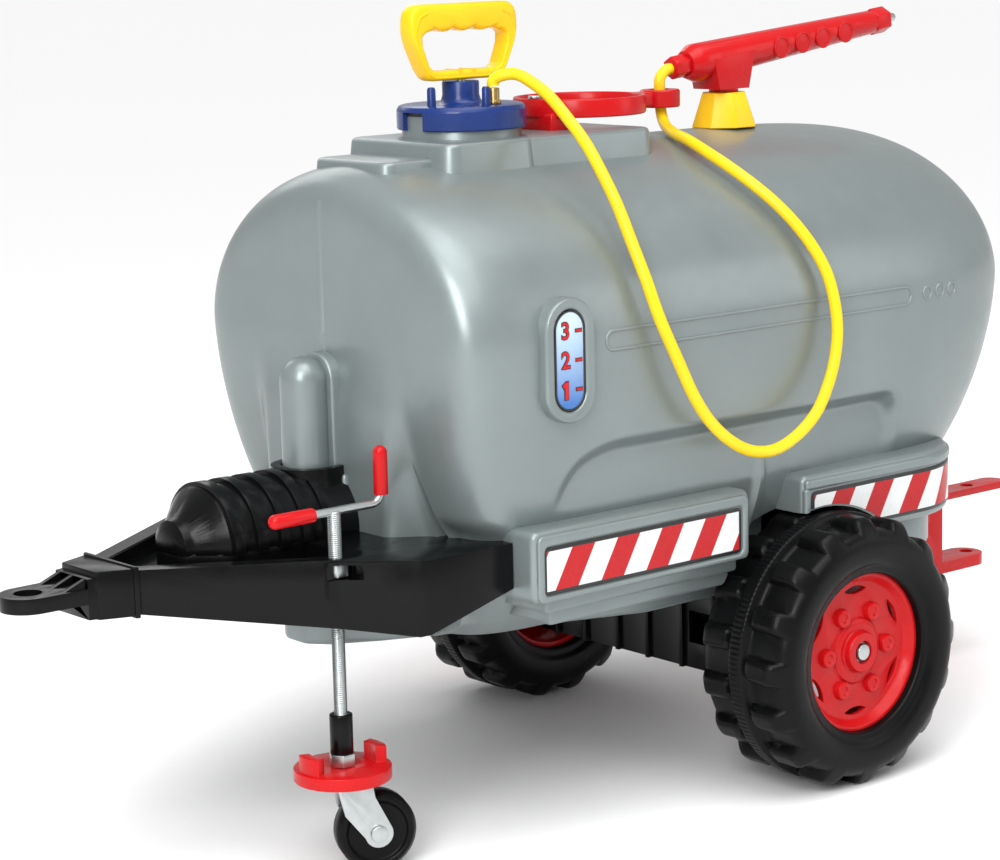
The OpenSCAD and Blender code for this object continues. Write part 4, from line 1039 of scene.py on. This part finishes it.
closed_piece("cap_shell", [upright(cap_prof, 120, NECK_X),
                           part_turn(skirt_prof, NECK_X, 194.5 - 360, 167.5, 108)], blue,
             nodes=["pump_cap"], angle=34)
peg = [(0.02, 528), (3.4, 528), (3.2, 542), (2.4, 543.7), (0.02, 544)]
for i, a in enumerate((190, -95)):
    at = Matrix.Rotation(math.radians(a), 4, "Z") @ Vector((33.5, 0, 0))
    closed_piece("cap_peg_" + str(i + 1), [upright(peg, 24, NECK_X + at.x, at.y)], blue, angle=40)
dress("hose_spigot", brass, 0.4)


# Jockey: threaded rod, bent crank and dipped grips
def threaded(cx, cy, z0, z1, r, pitch, depth, around=28):
    """Rod with a helical thread."""
    rows = int((z1 - z0) / pitch * 6)
    pts = []
    for i in range(rows + 1):
        z = z0 + (z1 - z0) * i / rows
        for k in range(around):
            a = 2 * math.pi * k / around
            saw = ((z / pitch - k / around) % 1.0)
            rr = r - depth * abs(2 * saw - 1)
            pts.append((cx + rr * math.cos(a), cy + rr * math.sin(a), z))
    return pts, closed_rows(rows + 1, around)


JACK_X, JACK_Y, CRANK_Z = -412, -97, 262
closed_piece("jockey_thread", [threaded(JACK_X, JACK_Y, 58, CRANK_Z, 5.0, 1.5, 0.8)], zinc,
             nodes=["jockey_screw"], body="jockey_spindle", angle=60)

UPRIGHT_X, ELBOW_R = -370, 9
elbow = [(UPRIGHT_X - ELBOW_R + ELBOW_R * math.sin(a), JACK_Y, CRANK_Z + ELBOW_R - ELBOW_R * math.cos(a))
         for a in np.linspace(0, math.pi / 2, 10)]
crank_path = np.array([(-463.8, JACK_Y, CRANK_Z), (-440, JACK_Y, CRANK_Z)] + elbow
                      + [(UPRIGHT_X, JACK_Y, 299.8)])
closed_piece("crank_rod", [tube(crank_path, 3.0, 20)], zinc, nodes=["crank_bar"], body="jockey_spindle",
             angle=50)


def grip_points(place, axis, side, length):
    """Dipped grip: a straight sleeve with a round end and a soft lip."""
    prof = [(3.0, 0), (4.9, 0), (5.2, 0.8), (5.2, length - 5)]
    prof += [(5.2 * math.cos(a) + 0.02, length - 5 + 5 * math.sin(a))
             for a in np.linspace(0, math.pi / 2, 8)[1:]]
    prof += [(0.02, length - 3)]
    return lathe(prof, 28, place, axis, side)


closed_piece("crank_grip_sleeves", [grip_points((-430, JACK_Y, CRANK_Z), (-1, 0, 0), UP, 37),
                                    grip_points((UPRIGHT_X, JACK_Y, 268), UP, ALONG, 35)], red,
             nodes=["crank_grips"], body="jockey_spindle", angle=50)

# Gun: raised rings round the finger bosses
GUN_TURN = Matrix.Translation((24, 0, 546.8)) @ Matrix.Rotation(math.radians(-6.6), 4, "Y")
arcs = []
for at in (97.0, 123.1, 148.0, 176.1):
    for side in (-1, 1):
        reach = 15.5 - 5.5 * (at - 9) / 210 + 0.9
        circle = [GUN_TURN @ Vector((at + 8 * math.cos(a), side * reach, -1.5 + 8 * math.sin(a)))
                  for a in np.linspace(0, 2 * math.pi, 26)]
        arcs.append(tube(np.array([tuple(v) for v in circle]), 0.8, 8))
closed_piece("gun_rings", arcs, red, body="spray_gun", angle=60)

# Guide: a channelled ring with an arm, an eye for the hose and a foot on the platform
GUIDE_X, EYE_X = -90.0, -4.0
ring_prof = [(41, 516), (41.6, 515), (51, 515), (52, 516), (52, 527.6), (51.2, 529), (48.8, 529), (48, 528),
             (47.6, 523), (46.6, 522), (42, 522), (41, 521)]
eye_prof = [(9, 516), (9.8, 515), (15, 515), (16, 516), (16, 527.8), (15, 529), (9.8, 529), (9, 528)]
closed_piece("guide_ring", [upright(ring_prof, 96, GUIDE_X)], red, nodes=["hose_guide"], angle=36)
closed_piece("guide_eye", [upright(eye_prof, 48, EYE_X)], red, angle=36)
closed_piece("guide_arm", [block(GUIDE_X + 49, EYE_X - 13, -8, 8, 516, 528)], red, 2, 3)
closed_piece("guide_foot", [block(GUIDE_X - 50, GUIDE_X - 26, -24, 24, 503, 519)], red, 3, 3)

# Pieces that keep the CAD shape, with eased edges
for n, m, w in (("ribbed_cover", black, 1.8), ("tow_coupler", black, 1.6),
                ("axle_carrier", black, 1.0), ("axle_spacers", black, 0.5), ("spindle_sleeve", black, 1.0),
                ("gun_body", red, 1.2), ("gun_rear_nut", red, 1.2), ("gun_nozzle_cap", red, 1.2),
                ("rear_hitch", red, 1.6), ("castor_plate", red, 1.4),
                ("gun_pedestal", yellow, 2.0), ("castor_wheel", rubber, 1.2),
                ("castor_fork", zinc, 0.7), ("castor_axle", zinc, 0.5),
                ("jockey_nut", zinc, 0.6), ("stem_nut", zinc, 0.7), ("kingpin_nut", zinc, 0.5),
                ("axle_caps", zinc, 0.5), ("gun_nozzle", zinc, 0.4),
                ("carrier_screws", black, 0.5), ("guide_screw", zinc, 0.5), ("hitch_bolts", zinc, 0.5)):
    dress(n, m, w, 3 if w > 1 else 2)
NUT_WINDOW = [(-445, -130), (-404, -130), (-404, -104), (-428, -104)]
DECK_HOLE = mirrored([(-528, -17), (-416, -90), (-396, -90)])
trim(dress("drawbar", black, 2.0, 3, 55), [prism(NUT_WINDOW, 215, 225.5), prism(DECK_HOLE, 210, 240)], 34)

# Sunk deck between the drawbar's arms, and the cover's foot that stands on it
TRAY = mirrored([(-530, -18), (-416, -92), (-394, -92)])
TRAY_INSIDE = mirrored([(-527, -16), (-416, -89), (-397, -89)])
COVER_FOOT = mirrored([(-488, -14), (-484, -20), (-478, -22.5), (-466, -36), (-460, -41), (-394, -41)])
closed_piece("drawbar_deck", [prism(TRAY, 212, 228.4)], black, cutters=[prism(TRAY_INSIDE, 216, 240)])
closed_piece("cover_foot", [prism(COVER_FOOT, 215, 231)], black, 1.2)

# Coupler: a plain sleeve with a lip over the drawbar's nose; its cross bolt doesn't show
SLEEVE = mirrored([(-561, -23), (-534, -33)])
LIP = mirrored([(-537, -32.9), (-533.6, -34.4)])
closed_piece("coupler_sleeve", [prism(SLEEVE, 197, 231.2)], black, 1.4)
closed_piece("coupler_lip", [prism(LIP, 195.8, 232.4)], black, 0.8)
pin_prof = [(0.02, -21), (3.5, -21), (3.9, -20.6), (3.9, 20.6), (3.5, 21), (0.02, 21)]
closed_piece("coupler_pin", [lathe(pin_prof, 24, (-550, 0, 212), (0, 1, 0), ALONG)], zinc,
             nodes=["coupler_bolt"])
trim(dress("drawbar_screws", zinc, 0.3), [block(-520, 420, -CLEAR, CLEAR, 228.5, 400)], 34)

# CAD nodes that stay as they are, with a finish of their own
for n, m in (("axle", zinc), ("cap_seal", seal), ("pump_barrel", white), ("foot_valve", black),
             ("pump_rod", zinc), ("pump_piston", black), ("piston_ring", seal), ("handle_pin", zinc),
             ("gun_pivot", zinc)):
    data = frame["nodes"][n].data
    data.materials.clear()
    data.materials.append(m)


# Gauge digits and ticks
DIGIT_X = GAUGE_X - 4.0
DIGIT_SIZE, DIGIT_BORDER = 17.0, 0.7
EDGE_Y, FACE_Y = 174.5, 174.8
LEVELS = (379.0, 358.0, 337.0)


def digit(char, z, grow, out, mat, tag):
    """A gauge number in the plain built-in font."""
    c = bpy.data.curves.new("digit", "FONT")
    c.body = char
    c.size = DIGIT_SIZE * MM
    c.align_x = "CENTER"
    c.align_y = "CENTER"
    c.extrude = 0.25 * MM
    c.offset = grow * MM
    ob = add("digit", c)
    ob.matrix_world = Matrix.Translation(Vector(metres((DIGIT_X, -out, z))[0])) \
        @ Matrix.Rotation(math.pi / 2, 4, "X")
    me = applied_mesh(ob)
    me.transform(ob.matrix_world)
    bpy.data.objects.remove(ob)
    bpy.data.curves.remove(c)
    finish_mesh(me, 30)
    made = add("gauge_digit_" + char + tag, me)
    return put(made, "chassis", [], [mat])


for char, z in zip("32", LEVELS):
    digit(char, z, DIGIT_BORDER, EDGE_Y, ink_and_painted_shade_black, "_edge")
    digit(char, z, 0.0, FACE_Y, ink_red, "_face")
ONE = [(-1.3, -6.2), (1.7, -6.2), (1.7, 6.2), (-0.4, 6.2), (-3.6, 3.8), (-2.5, 2.0), (-1.3, 2.8)]
ONE_EDGE = [(-2.0, -6.9), (2.4, -6.9), (2.4, 6.9), (-0.6, 6.9), (-4.6, 3.9), (-2.7, 1.0), (-2.0, 1.5)]
for outline, out, m, tag in ((ONE_EDGE, EDGE_Y, ink_and_painted_shade_black, "_edge"), (ONE, FACE_Y, ink_red, "_face")):
    closed_piece("gauge_digit_1" + tag, [cut_out([outline], 0.5, 0.1, standing(DIGIT_X, -out, LEVELS[2]))], m)
for tag, m, x0, x1, out, half in (("edge", ink_and_painted_shade_black, 5.0, 11.6, 174.7, 1.4),
                                  ("face", ink_red, 5.5, 11.2, 175.0, 0.8)):
    marks = [block(GAUGE_X + x0, GAUGE_X + x1, -out, -174.1, z - half, z + half) for z in LEVELS]
    closed_piece("gauge_marks_" + tag, marks, m)


# Stage and light
def floor_material():
    m, t, p, co = start_material("floor")
    wire(p, "Base Color", two_tone(t, noise(t, co, 60.0, 2.0), (0.895,) * 3, (0.905,) * 3))
    p.inputs["Roughness"].default_value = 0.75
    return m


floor_me = bpy.data.meshes.new("floor")
FLOOR = 60
floor_me.from_pydata([(-FLOOR, -FLOOR, 0), (FLOOR, -FLOOR, 0), (FLOOR, FLOOR, 0), (-FLOOR, FLOOR, 0)], [],
                     [(0, 1, 2, 3)])
floor_me.materials.append(floor_material())
add("floor", floor_me)

world = bpy.data.worlds.new("studio")
world.use_nodes = True
world.node_tree.nodes["Background"].inputs["Color"].default_value = (1.0, 1.0, 1.0, 1)
world.node_tree.nodes["Background"].inputs["Strength"].default_value = 0.53
bpy.context.scene.world = world


def softbox(name, place, aim, size, power):
    d = bpy.data.lights.new(name, "AREA")
    d.shape = "RECTANGLE"
    d.size, d.size_y = size
    d.energy = power
    ob = add(name, d)
    ob.location = Vector(place)
    ob.rotation_euler = (Vector(aim) - Vector(place)).to_track_quat("-Z", "Y").to_euler()


sun_data = bpy.data.lights.new("sky", "SUN")
sun_data.energy = 1.95
sun_data.angle = math.radians(60)
sun = add("sky", sun_data)
sun.rotation_euler = (math.radians(22), math.radians(-14), 0)
softbox("top", (0.1, -0.5, 2.3), (0.0, 0.0, 0.4), (2.2, 0.9), 12)
softbox("key", (-2.0, -1.3, 1.5), (0.0, 0.0, 0.35), (0.9, 1.6), 44)
softbox("fill", (1.9, -1.9, 1.2), (0.1, 0.0, 0.3), (1.0, 1.4), 7)
softbox("rim", (0.5, 2.2, 1.7), (0.0, 0.0, 0.35), (2.2, 1.0), 12)
bpy.context.scene.view_settings.view_transform = "Standard"
